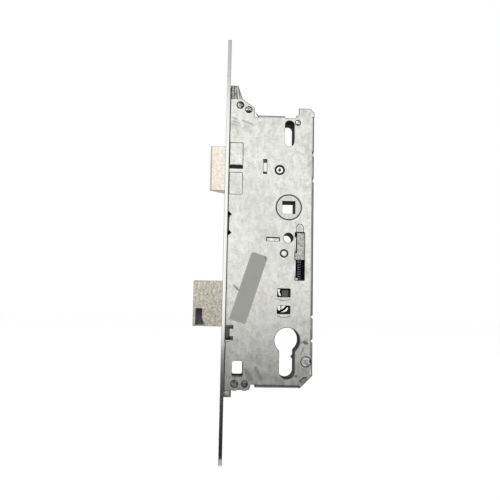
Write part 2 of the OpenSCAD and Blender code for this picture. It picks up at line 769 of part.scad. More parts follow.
module tumbler() {
    color(steel) {
        slab(tumbler_y[0], tumbler_y[1]) difference() {
            union() {
                translate(tumbler_at) circle(d = tumbler_boss_d);
                link([tumbler_at, tumbler_knee, tumbler_peg_at, tumbler_hip, tumbler_foot],
                    tumbler_w, knuckle);
            }
            translate(tumbler_at) circle(d = tumbler_pin_d + 2 * turn_gap);
        }
        pin_through(tumbler_peg_at, tumbler_peg_d, tail_front_y, tumbler_y[0]);
    }
}

module tumbler_post() {
    head_y = tumbler_y[0] - slide_gap;
    color(steel) {
        pin_through(tumbler_at, tumbler_pin_d, head_y - tumbler_head[1], half_t);
        pin_through(tumbler_at, tumbler_head[0], head_y - tumbler_head[1], head_y);
    }
}

module tumbler_spring() {
    run = tumbler_knee - tumbler_at;
    arm_z = tumbler_at[1] + run[1] * (tumbler_spring_x - tumbler_at[0]) / run[0];
    foot_z = arm_z + tumbler_w / 2 / cos(atan(run[1] / run[0])) + plate_gap;
    color(dark_steel) translate([tumbler_spring_x, (tumbler_y[0] + tumbler_y[1]) / 2, foot_z])
        coil(tumbler_seat_z - foot_z, tumbler_spring_d, tumbler_wire, tumbler_turns);
}

module upper_screw_sleeve() {
    color(steel) slab(-inner_y, inner_y) difference() {
        upper_slot(handle_bore + 2 * sleeve_wall);
        upper_slot(handle_bore);
        translate(corner_rivet_at) circle(d = corner_rivet_d + slide_gap);
    }
}

module lower_screw_sleeve() {
    color(steel) slab(-inner_y, inner_y) translate([0, -lower_hole_z]) difference() {
        circle(d = handle_bore + 2 * sleeve_wall);
        circle(d = handle_bore);
    }
}

module spacer_post() {
    color(steel) difference() {
        union() {
            pin_through(spacer_at, spacer_d, -half_t, half_t);
            pin_through(spacer_at, spacer_body_d, -inner_y, inner_y);
        }
        pin_through(spacer_at, spacer_pilot[0], -half_t - hole_over, -half_t + spacer_pilot[1]);
    }
}

module corner_rivet() {
    color(steel) pin_through(corner_rivet_at, corner_rivet_d, -half_t, half_t);
}

module cover_screw() {
    color(steel) difference() {
        union() {
            sunk_cone(cover_screw_at, -half_t, cover_screw_d, cover_thread_d, screw_sink);
            pin_through(cover_screw_at, cover_thread_d, -half_t, -half_t + cover_screw_len);
        }
        translate([cover_screw_at[0], -half_t, cover_screw_at[1]]) rotate([90, 0, 0])
            rotate(45) cross_recess(cover_screw_d / 2, 1);
    }
}

module cover_screw_post() {
    color(steel) difference() {
        pin_through(cover_screw_at, cover_post_d, -inner_y, inner_y);
        pin_through(cover_screw_at, cover_thread_d, -inner_y - hole_over, -half_t + cover_screw_len);
    }
}

module label() {
    color(grey_label) slab(-half_t - label_t, -half_t) translate(label_at) rotate(-label_lean)
        window([-label_w / 2, label_w / 2], [-label_len / 2, label_len / 2], label_r);
}

case_shell();
cover_plate();
faceplate();
top_mounting_block();
bottom_mounting_block();
faceplate_screws();
latch_head();
latch_tail();
latch_pin();
latch_spring();
spring_abutment();
follower();
follower_stop();
return_slider();
return_spring();
change_lever();
lever_rivet();
bolt_head();
bolt_tail();
bolt_rivets();
bolt_guide_post();
tumbler();
tumbler_post();
tumbler_spring();
upper_screw_sleeve();
lower_screw_sleeve();
spacer_post();
corner_rivet();
cover_screw();
cover_screw_post();
label();
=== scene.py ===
"""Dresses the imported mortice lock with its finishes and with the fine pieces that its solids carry.

Metres throughout, in the part's own frame: the origin is on the follower's axis at mid
thickness, X runs towards the hinge side of the door, Y through its thickness and Z up.
"""

from __future__ import annotations

import json
import logging
import math
from contextlib import contextmanager
from dataclasses import dataclass
from enum import Enum
from functools import reduce
from typing import Any, Callable, Iterator, Sequence

import bmesh
import bpy
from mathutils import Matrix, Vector

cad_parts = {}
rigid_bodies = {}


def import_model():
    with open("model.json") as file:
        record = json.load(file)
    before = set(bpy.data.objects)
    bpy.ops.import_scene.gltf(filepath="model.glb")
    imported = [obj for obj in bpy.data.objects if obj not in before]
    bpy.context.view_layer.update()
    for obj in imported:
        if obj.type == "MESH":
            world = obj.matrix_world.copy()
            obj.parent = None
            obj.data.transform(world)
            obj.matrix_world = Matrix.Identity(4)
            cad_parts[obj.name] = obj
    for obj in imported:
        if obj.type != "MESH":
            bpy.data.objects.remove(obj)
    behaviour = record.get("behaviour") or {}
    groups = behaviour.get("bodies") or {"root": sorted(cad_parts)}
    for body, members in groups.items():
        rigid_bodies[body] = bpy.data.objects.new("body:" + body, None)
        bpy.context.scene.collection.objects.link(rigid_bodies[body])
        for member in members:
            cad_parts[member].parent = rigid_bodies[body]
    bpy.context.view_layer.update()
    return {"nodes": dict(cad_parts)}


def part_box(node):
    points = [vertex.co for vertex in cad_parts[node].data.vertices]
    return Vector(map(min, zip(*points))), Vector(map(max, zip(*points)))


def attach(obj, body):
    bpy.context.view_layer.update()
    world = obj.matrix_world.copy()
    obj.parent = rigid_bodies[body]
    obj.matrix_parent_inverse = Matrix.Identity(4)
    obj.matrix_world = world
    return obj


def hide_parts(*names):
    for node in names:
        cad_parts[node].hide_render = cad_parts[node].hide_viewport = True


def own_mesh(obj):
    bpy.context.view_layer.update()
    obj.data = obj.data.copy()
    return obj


LOG = logging.getLogger("lock")
MM = 0.001
FRONT = -8.0 * MM
SEED = 0.1 * MM
TOUCHING = 0.002 * MM

Colour = tuple[float, float, float]
Point = tuple[float, float]
Corner = tuple[float, float, float]


class Slot(Enum):
    """The record's material slots for new pieces' finishes; no piece is given its slot here."""

    SHEET = "galvanised_sheet"
    ZINC = "cast_zinc"
    STEEL = "bright_steel"
    WIRE = "spring_wire"


# ---------------------------------------------------------------------------- shader writing


def fill(tree: bpy.types.NodeTree, socket: bpy.types.NodeSocket, value: Any) -> None:
    """Links a socket to a value's output, or sets it to a number, a vector or a colour.

    Args:
        tree: The socket's tree.
        socket: The input to fill.
        value: What it takes.
    """
    if isinstance(value, Value):
        tree.links.new(value.socket, socket)
    elif isinstance(value, tuple) and socket.type == "RGBA":
        socket.default_value = (*value, 1.0)
    else:
        socket.default_value = value


def joined(operation: str, swapped: bool = False) -> Callable[[Value, Value | float], Value]:
    """Makes an operator that joins its two sides with a Math node.

    Args:
        operation: The node's operation.
        swapped: Whether the other side goes first.

    Returns:
        The operator.
    """
    if swapped:
        return lambda self, other: self.math(operation, other, self)
    return lambda self, other: self.math(operation, self, other)


class Value:
    """A shader socket that Python's operators join to Math nodes."""

    def __init__(self, tree: bpy.types.NodeTree, socket: bpy.types.NodeSocket) -> None:
        """Keeps the tree and the socket."""
        self.tree = tree
        self.socket = socket

    def math(self, operation: str, *values: Value | float) -> Value:
        """Adds a Math node.

        Args:
            operation: The node's operation.
            values: What its sockets take, in order.

        Returns:
            The node's output.
        """
        node = self.tree.nodes.new("ShaderNodeMath")
        node.operation = operation
        for socket, value in zip(node.inputs, values):
            fill(self.tree, socket, value)
        return Value(self.tree, node.outputs[0])

    __add__, __radd__ = joined("ADD"), joined("ADD", True)
    __sub__, __rsub__ = joined("SUBTRACT"), joined("SUBTRACT", True)
    __mul__, __rmul__ = joined("MULTIPLY"), joined("MULTIPLY", True)
    __truediv__ = joined("DIVIDE")

    def __abs__(self) -> Value:
        """Returns the value without its sign."""
        return self.math("ABSOLUTE", self)

    def above(self, level: float) -> Value:
        """Returns 1 where the value is over the level, and 0 elsewhere."""
        return self.math("GREATER_THAN", self, level)

    def below(self, level: float) -> Value:
        """Returns 1 where the value is under the level, and 0 elsewhere."""
        return self.math("LESS_THAN", self, level)

    def between(self, low: float, high: float) -> Value:
        """Returns 1 where the value lies between two levels, and 0 elsewhere."""
        return self.above(low) * self.below(high)

    def root(self) -> Value:
        """Returns the square root."""
        return self.math("SQRT", self)

    def ease(self, low: float, high: float) -> Value:
        """Maps low to 0 and high to 1 along a smooth step.

        Args:
            low: The value that gives 0.
            high: The value that gives 1.

        Returns:
            The eased value, from 0 to 1.
        """
        node = self.tree.nodes.new("ShaderNodeMapRange")
        node.interpolation_type = "SMOOTHSTEP"
        self.tree.links.new(self.socket, node.inputs[0])
        node.inputs[1].default_value = low
        node.inputs[2].default_value = high
        return Value(self.tree, node.outputs[0])


def blank_material(name: str) -> tuple[bpy.types.Material, bpy.types.NodeSocket]:
    """Starts a material without a shader.

    Args:
        name: The material's name.

    Returns:
        The material and its surface's socket.
    """
    material = bpy.data.materials.new(name)
    material.use_nodes = True
    material.node_tree.nodes.clear()
    return material, material.node_tree.nodes.new("ShaderNodeOutputMaterial").inputs[0]


class Paint:
    """The node tree of one material, ending in a Principled shader."""

    def __init__(self, name: str, constants: dict[str, Any]) -> None:
        """Starts the material and sets what is the same all over it.

        Args:
            name: The material's name.
            constants: Values for the shader's own sockets, by name.
        """
        self.material, surface = blank_material(name)
        self.tree = self.material.node_tree
        self.shader = self.tree.nodes.new("ShaderNodeBsdfPrincipled")
        self.tree.links.new(self.shader.outputs[0], surface)
        for key, value in constants.items():
            self.shader.inputs[key].default_value = value
        self.place = self.node("ShaderNodeTexCoord", {}, "Object")
        self.x, self.y, self.z = (self.axis(self.place, name) for name in "XYZ")
        self.facing = abs(self.axis(self.node("ShaderNodeNewGeometry", {}, "Normal"), "Y"))

    def node(
        self, kind: str, inputs: dict[str | int, Any], output: str | int = 0, **settings: Any
    ) -> Value:
        """Adds any other node.

        Args:
            kind: The node's type.
            inputs: Values or links for its sockets.
            output: The output to go on from.
            **settings: Its settings.

        Returns:
            The output.
        """
        new = self.tree.nodes.new(kind)
        for key, value in settings.items():
            setattr(new, key, value)
        for key, value in inputs.items():
            fill(self.tree, new.inputs[key], value)
        return Value(self.tree, new.outputs[output])

    def stretched(self, stretch: Sequence[float], turn: Sequence[float] = (0.0, 0.0, 0.0)) -> Value:
        """Returns the object's coordinates, stretched and turned."""
        inputs = {"Vector": self.place, "Scale": stretch, "Rotation": turn}
        return self.node("ShaderNodeMapping", inputs)

    def noise(
        self, scale: float, detail: float = 3.0, rough: float = 0.5, where: Value | None = None
    ) -> Value:
        """Adds a noise pattern.

        Args:
            scale: Its number of features in a metre.
            detail: Its octaves.
            rough: How much the fine octaves count.
            where: The coordinates, or None for the object's own.

        Returns:
            A value around 0.5.
        """
        return self.node(
            "ShaderNodeTexNoise",
            {"Vector": where or self.place, "Scale": scale, "Detail": detail, "Roughness": rough},
        )

    def cells(self, scale: float) -> Value:
        """Adds a pattern of flat cells and returns a value from 0 to 1 for each cell."""
        colour = self.node("ShaderNodeTexVoronoi", {"Vector": self.place, "Scale": scale}, "Color")
        return self.node("ShaderNodeSeparateColor", {0: colour})

    def axis(self, vector: Value, name: str) -> Value:
        """Returns a vector's X, Y or Z."""
        return self.node("ShaderNodeSeparateXYZ", {0: vector}, name)

    def mix(self, factor: Value | float, low: Value | Colour, high: Value | Colour) -> Value:
        """Mixes two colours.

        Args:
            factor: The share of the second.
            low: The first colour.
            high: The second colour.

        Returns:
            The mixed colour.
        """
        inputs = {0: factor, 6: low, 7: high}
        return self.node("ShaderNodeMix", inputs, 2, data_type="RGBA", clamp_factor=True)

    def shade(self, colour: Value | Colour, level: Value) -> Value:
        """Multiplies a colour by a level.

        Args:
            colour: The colour.
            level: What it is multiplied by.

        Returns:
            The shaded colour.
        """
        grey = self.node("ShaderNodeCombineColor", {0: level, 1: level, 2: level})
        settings = {"data_type": "RGBA", "blend_type": "MULTIPLY", "clamp_factor": True}
        return self.node("ShaderNodeMix", {0: 1.0, 6: colour, 7: grey}, 2, **settings)

    def highest(self, masks: Sequence[Value]) -> Value:
        """Returns the highest of several masks."""
        return reduce(lambda low, high: low.math("MAXIMUM", low, high), masks)

    def offset(self, at: Point) -> tuple[Value, Value]:
        """Returns how far across and up a place is from a point, given in millimetres."""
        return self.x - at[0] * MM, self.z - at[1] * MM

    def ring(self, at: Point, radius: float, half: float) -> Value:
        """Returns 1 on a circle in the plane of the case, falling to 0 at a distance from it.

        Args:
            at: The circle's centre, as x and z in millimetres.
            radius: The circle's radius.
            half: The distance at which the value is 0.

        Returns:
            The value.
        """
        across, up = self.offset(at)
        away = abs((across * across + up * up).root() - radius * MM)
        return 1.0 - away.ease(0.0, half * MM)

    def stroke(self, start: Point, end: Point, half: float) -> Value:
        """Returns 1 along a line in the plane of the case, falling to 0 at a distance from it.

        Args:
            start: The line's first end, as x and z in millimetres.
            end: Its other end.
            half: The distance at which the value is 0.

        Returns:
            The value.
        """
        run = ((end[0] - start[0]) * MM, (end[1] - start[1]) * MM)
        across, up = self.offset(start)
        share = (across * run[0] + up * run[1]) / (run[0] ** 2 + run[1] ** 2)
        share = share.math("MINIMUM", share.math("MAXIMUM", share, 0.0), 1.0)
        across = across - share * run[0]
        up = up - share * run[1]
        return 1.0 - (across * across + up * up).root().ease(0.0, half * MM)

    def feed(self, **links: Value | float) -> None:
        """Sets the shader's sockets, named with _ for a space, to links or numbers."""
        for key, value in links.items():
            fill(self.tree, self.shader.inputs[key.replace("_", " ")], value)

    def bump(self, height: Value, depth: float) -> None:
        """Feeds the shader's normal from a height of 0 to 1 that stands for a depth."""
        self.feed(Normal=self.node("ShaderNodeBump", {"Distance": depth, "Height": height}))


# ---------------------------------------------------------------------------------- finishes


@dataclass(frozen=True)
class ScuffOrShade:
    """A line on the case's front in millimetres: scuffs, painted shade and painted highlights."""

    start: Point
    end: Point
    half: float
    depth: float
    tone: Colour = (0.1, 0.1, 0.1)


@dataclass(frozen=True)
class GalvanisedSheet:
    """Rolled steel sheet with a fine zinc spangle; its inner faces are darker as painted shade."""

    tone: Colour = (0.866, 0.861, 0.826)
    stain: Colour = (0.56, 0.56, 0.52)
    # The inner faces' near-black, matt grey is painted shade inside the case.
    inner: Colour = (0.15, 0.15, 0.155)
    # Near-black painted shade for the outlines, the hole rims and the gap lines.
    shade_seam: Colour = (0.08, 0.08, 0.08)
    # Darker grey painted on faces that turn away from the front, the fold walls and cut edges:
    # painted shade.
    bend_shade: Colour = (0.27, 0.27, 0.265)
    # Darker grey on the bottom fold's turned faces, which also lose their metal: painted shade.
    foot_bend_shade: Colour = (0.36, 0.36, 0.35)
    # A paler, streaked, metallic patch on the cover plate's inner face by the faceplate, seen through
    # the opening: painted light falling in there.
    painted_light: tuple[Point, Point] = ((-0.044, -0.034), (-0.099, -0.077))
    painted_light_y: float = 6.0 * MM
    painted_light_tone: Colour = (0.3, 0.3, 0.3)
    bend_facing: Point = (0.86, 0.965)
    skin: float = 7.6 * MM
    rear_skin: float = 16.9 * MM
    top_skin: float = 63.0 * MM
    bottom_skin: float = -123.0 * MM
    # Dark lines are painted along the gap by the faceplate, the fold's edge and the top wall's edge:
    # painted shade.
    gap_shade_x: float = -41.95 * MM
    fold_x: float = 17.0 * MM
    lip_z: float = 65.3 * MM
    lip_x: Point = (-22.5 * MM, -4.0 * MM)
    # Scuffs and a scribed line, with painted shade along the ear, the rear notches and the pressings,
    # and near-white strokes that are painted highlights.
    scuffs_and_shading: tuple[ScuffOrShade, ...] = (
        ScuffOrShade((-37.0, -55.2), (-34.3, -58.2), 0.85, 1.0),
        ScuffOrShade((-34.9, -56.6), (-33.3, -59.4), 0.75, 1.0),
        ScuffOrShade((-28.3, -111.9), (-24.3, -117.9), 2.5, 0.5),
        ScuffOrShade((-21.2, -110.8), (-17.6, -117.8), 2.2, 0.5),
        ScuffOrShade((-36.5, -61.0), (-33.0, -60.0), 0.9, 0.15),
        ScuffOrShade((-2.5, -47.0), (1.5, -46.0), 1.4, 0.16),
        ScuffOrShade((6.8, -104.5), (9.5, -96.5), 2.0, 0.8, (1.0, 1.0, 0.97)),
        ScuffOrShade((8.2, -93.5), (13.5, -91.5), 1.6, 0.7, (0.3, 0.3, 0.3)),
        ScuffOrShade((11.5, -97.0), (15.5, -101.5), 1.2, 0.8, (1.0, 1.0, 0.97)),
        ScuffOrShade((9.3, -101.5), (11.2, -96.8), 0.9, 0.7, (0.2, 0.2, 0.2)),
        ScuffOrShade((7.6, -16.8), (7.6, -13.9), 3.2, 0.75, (0.42, 0.42, 0.4)),
        ScuffOrShade((-15.4, -21.6), (-6.4, -21.4), 0.45, 0.6),
        ScuffOrShade((-8.0, -115.0), (-6.5, -119.0), 1.5, 0.12),
        ScuffOrShade((2.0, 40.5), (10.0, 38.0), 1.6, 0.16),
        ScuffOrShade((-3.0, 56.0), (-2.0, 47.0), 1.2, 0.1),
        ScuffOrShade((-41.0, 63.6), (-37.6, 62.0), 1.1, 0.5),
        ScuffOrShade((-36.5, 64.5), (-33.5, 63.0), 1.6, 0.7, (1.0, 1.0, 0.97)),
        ScuffOrShade((-33.3, 61.2), (-26.0, 58.4), 1.2, 0.5),
        ScuffOrShade((-40.5, 60.6), (-36.0, 59.4), 1.1, 0.4),
        ScuffOrShade((-30.0, 62.5), (-26.5, 60.5), 1.5, 0.6, (1.0, 1.0, 0.97)),
        ScuffOrShade((-41.5, 58.5), (-36.5, 57.6), 1.0, 0.35),
        ScuffOrShade((12.5, 44.0), (15.0, 30.0), 3.0, 0.2),
        ScuffOrShade((16.5, 40.6), (17.1, 37.8), 0.9, 1.0),
        ScuffOrShade((16.4, 20.8), (16.9, 19.4), 0.9, 1.0),
        ScuffOrShade((-29.0, 9.0), (-8.0, -28.0), 25.0, 0.36, (0.56, 0.57, 0.54)),
    )
    # Lines along the ear, the top tab and the lower rear corner, painted dark as shade at the edges.
    shaded_outlines: tuple[tuple[Point, Point], ...] = (
        ((-35.6, 77.2), (-37.1, 85.6)),
        ((-38.2, 87.0), (-37.1, 86.6)),
        ((-37.3, 86.4), (-34.1, 77.0)),
        ((-33.8, 77.1), (-25.2, 70.8)),
        ((-25.2, 70.8), (-25.0, 64.6)),
        ((-25.0, 64.2), (-22.2, 64.2)),
        ((-3.0, 64.2), (3.4, 64.2)),
        ((3.8, 64.4), (6.3, 67.4)),
        ((6.4, 67.0), (6.5, 71.4)),
        ((6.5, 71.5), (14.7, 71.5)),
        ((14.7, 71.5), (17.6, 68.5)),
        ((8.8, -124.0), (17.7, -115.1)),
    )
    outline_shade_half: float = 0.85
    # Dark rings painted round the cylinder hole, the follower and a small hole below it: painted
    # shade at the hole edges.
    hole_shade_rings: tuple[tuple[Point, float], ...] = (
        ((0.0, -92.0), 8.95),
        ((0.0, -21.5), 3.6),
        ((0.0, 0.0), 9.2),
    )
    hole_shade_half: float = 0.4

    def paint(self) -> bpy.types.Material:
        """Builds the material.

        Returns:
            The material.
        """
        p = Paint("galvanised_sheet", {})
        cloud = p.noise(95.0, 4.0, 0.62)
        patch = p.noise(260.0, 4.0, 0.66, p.stretched((1.0, 1.0, 0.6), (0.0, 0.5, 0.0)))
        spangle = p.cells(620.0)
        streak = p.noise(480.0, 3.0, 0.6, p.stretched((1.0, 1.0, 0.1)))
        grain = p.noise(1500.0, 3.0, 0.7)
        level = 0.62 * cloud + 0.88 * patch + 0.14 * spangle + 0.24 * streak + 1.1 * grain - 0.48
        colour = p.mix(cloud.ease(0.5, 0.75) * 0.5, self.tone, self.stain)
        colour = p.shade(colour, level)
        front = p.y.below(-self.skin)
        # Scuffs, strokes of painted shade and strokes of painted highlight.
        for stroke_mark in self.scuffs_and_shading:
            mark_or_shade = p.stroke(stroke_mark.start, stroke_mark.end, stroke_mark.half) * front * stroke_mark.depth
            colour = p.mix(mark_or_shade * grain.ease(0.3, 0.6), colour, stroke_mark.tone)
        # Painted shade along the outline.
        rim = p.highest([p.stroke(start, end, self.outline_shade_half) for start, end in self.shaded_outlines])
        colour = p.mix(rim * front * 0.85, colour, self.shade_seam)
        # Painted shade round the round holes.
        hole_shade = p.highest([p.ring(at, radius, self.hole_shade_half) for at, radius in self.hole_shade_rings])
        colour = p.mix(hole_shade * front * 0.6, colour, self.shade_seam)
        # Painted shade on faces turned away from the front.
        bend_shade = (1.0 - p.facing.ease(*self.bend_facing)) * p.facing.ease(0.05, 0.3)
        colour = p.mix(bend_shade * 0.9, colour, self.bend_shade)
        # Painted shade lines at the gap by the faceplate, the fold's edge and the top wall's edge.
        shade_lines = p.x.below(self.gap_shade_x) * front
        shade_lines = shade_lines + bend_shade * p.x.above(self.fold_x) * 0.7
        shade_lines = shade_lines + front * p.z.above(self.lip_z) * p.x.between(*self.lip_x)
        # Painted shade on the faces inside the case.
        inside = (
            abs(p.y).below(self.skin)
            * p.x.below(self.rear_skin)
            * p.z.between(self.bottom_skin, self.top_skin)
        )
        colour = p.mix(shade_lines.math("MINIMUM", shade_lines, 1.0), colour, self.shade_seam)
        # Painted shade on the bottom fold's turned faces.
        foot = (1.0 - p.facing.ease(*self.bend_facing)) * p.z.below(self.bottom_skin)
        foot = foot * p.y.below(0.0)
        colour = p.mix(foot, colour, self.foot_bend_shade)
        # Painted light on the inner face behind the opening.
        painted_light_x, painted_light_z = self.painted_light
        painted_light = inside * p.y.above(self.painted_light_y)
        painted_light = painted_light * p.x.between(*painted_light_x) * p.z.between(*painted_light_z)
        streaked = p.shade(self.painted_light_tone, 0.25 + 1.5 * streak.ease(0.38, 0.6))
        inner = p.mix(painted_light, self.inner, streaked)
        p.feed(
            Base_Color=p.mix(inside, colour, inner),
            Roughness=0.2 + 0.12 * streak + 0.12 * patch + 0.35 * (inside - painted_light),
            Metallic=1.0 - inside + painted_light - foot * 0.95,
        )
        p.bump(0.5 * grain + 0.2 * spangle + 0.3 * patch, 0.02 * MM)
        return p.material


@dataclass(frozen=True)
class BrushedSteel:
    """Stainless strip, ground along its length."""

    tone: Colour = (0.98, 0.98, 0.955)

    def paint(self) -> bpy.types.Material:
        """Builds the material.

        Returns:
            The material.
        """
        p = Paint("faceplate_steel", {"Metallic": 1.0})
        fine = p.noise(5200.0, 3.0, 0.7, p.stretched((1.0, 1.0, 0.012)))
        broad = p.noise(900.0, 3.0, 0.6, p.stretched((1.0, 1.0, 0.02)))
        smudge = p.noise(60.0, 3.0)
        level = 0.74 + 0.2 * fine + 0.2 * broad + 0.08 * smudge
        p.feed(Base_Color=p.shade(self.tone, level), Roughness=0.1 + 0.1 * fine + 0.05 * smudge)
        p.bump(fine, 0.006 * MM)
        return p.material


@dataclass(frozen=True)
class ShadeBox:
    """A recess or inner part of a piece, from its lowest to its highest corner, painted as shade."""

    low: Corner
    high: Corner
    tone: Colour
    matt: bool = True

    def mask(self, p: Paint) -> Value:
        """Returns 1 inside the box."""
        x, y, z = ((low * MM, high * MM) for low, high in zip(self.low, self.high))
        return p.x.between(*x) * p.y.between(*y) * p.z.between(*z)


@dataclass(frozen=True)
class PlatedCasting:
    """A cast or sintered piece under a thin plating, mottled in two tints."""

    name: str
    tone: Colour
    warm: Colour
    cool: Colour
    speck: float
    gloss: float
    shade_boxes: tuple[ShadeBox, ...] = ()
    contrast: float = 0.2
    pore_scale: float = 1300.0

    def paint(self) -> bpy.types.Material:
        """Builds the material.

        Returns:
            The material.
        """
        p = Paint(self.name, {})
        blotch = p.noise(520.0, 4.0, 0.65)
        tint = p.noise(380.0, 3.0, 0.6, p.stretched((1.0, 1.0, 0.8), (0.4, 0.2, 0.9)))
        pore = p.noise(self.pore_scale, 3.0, 0.7)
        colour = p.mix(tint.ease(0.42, 0.62), self.tone, self.warm)
        colour = p.mix(blotch.ease(0.48, 0.7) * self.speck, colour, self.cool)
        # Painted shade in the boxes.
        for shade_box in self.shade_boxes:
            colour = p.mix(shade_box.mask(p), colour, shade_box.tone)
        colour = p.shade(colour, 1.0 - self.contrast / 2 + self.contrast * pore)
        # The matt boxes lose their metal and gain roughness with their painted shade.
        sunk = sum((shade_box.mask(p) for shade_box in self.shade_boxes if shade_box.matt), 0.0)
        p.feed(
            Base_Color=colour,
            Roughness=self.gloss + 0.14 * blotch + 0.4 * sunk,
            Metallic=1.0 - sunk,
        )
        p.bump(0.7 * pore + 0.3 * blotch, 0.016 * MM)
        return p.material


@dataclass(frozen=True)
class WorkedSteel:
    """Turned, stamped or drawn steel, with fine marks, pits and a little wear."""

    name: str
    tone: Colour
    gloss: float
    scale: float = 2400.0
    pits: float = 0.0
    metal: float = 1.0
    shade_boxes: tuple[ShadeBox, ...] = ()
    pit_tone: Colour = (0.02, 0.02, 0.022)

    def paint(self) -> bpy.types.Material:
        """Builds the material.

        Returns:
            The material.
        """
        gleam = 0.35 if self.metal > 0.0 else 0.15
        p = Paint(self.name, {"Metallic": self.metal, "Specular IOR Level": gleam})
        mark = p.noise(self.scale, 3.0, 0.6, p.stretched((1.0, 0.3, 0.6)))
        wear = p.noise(500.0, 3.0, 0.6)
        colour = p.shade(self.tone, 0.8 + 0.24 * mark + 0.16 * wear)
        if self.pits > 0.0:
            pit = p.noise(700.0, 2.0, 0.5).ease(0.46, 0.54) * self.pits
            colour = p.mix(pit, colour, self.pit_tone)
        # Painted shade in the boxes.
        for shade_box in self.shade_boxes:
            colour = p.mix(shade_box.mask(p), colour, shade_box.tone)
        p.feed(Base_Color=colour, Roughness=self.gloss + 0.16 * wear)
        p.bump(mark, 0.008 * MM)
        return p.material


@dataclass(frozen=True)
class LabelFilm:
    """Grey film with a matt face, a faint fibre and a paler cut edge, bare of any print."""

    tone: Colour = (0.345, 0.35, 0.312)
    edge: Colour = (0.5, 0.5, 0.46)
    at: Point = (-27.0, -56.6)
    size: Point = (11.8, 48.8)
    lean_deg: float = 17.5
    rim: float = 0.55
    # A dark line painted where the film's corner is cut off: painted shade along the cut edge.
    cut_edge_shade: tuple[Point, Point, float] = ((-16.2, -34.8), (-14.8, -38.9), 0.6)
    cut_edge_shade_tone: Colour = (0.09, 0.09, 0.085)

    def paint(self) -> bpy.types.Material:
        """Builds the material.

        Returns:
            The material.
        """
        p = Paint("label_film", {"Metallic": 0.0, "Specular IOR Level": 0.35})
        turn = math.radians(self.lean_deg)
        across, up = p.offset(self.at)
        u = abs(across * math.cos(turn) - up * math.sin(turn))
        v = abs(across * math.sin(turn) + up * math.cos(turn))
        half = tuple(side * MM / 2 for side in self.size)
        reach = u.math("MAXIMUM", u - half[0], v - half[1])
        fibre = p.noise(2200.0, 3.0, 0.6, p.stretched((1.0, 1.0, 0.3), (0.0, 0.33, 0.0)))
        cloud = p.noise(120.0, 2.0)
        colour = p.shade(self.tone, 0.88 + 0.1 * fibre + 0.14 * cloud)
        colour = p.mix(p.stroke(*self.cut_edge_shade) * 0.8, colour, self.cut_edge_shade_tone)
        pale = reach.ease(-self.rim * MM, 0.0) * 0.55
        p.feed(Base_Color=p.mix(pale, colour, self.edge), Roughness=0.5 + 0.16 * fibre)
        p.bump(0.4 * fibre + 0.6 * cloud, 0.02 * MM)
        return p.material


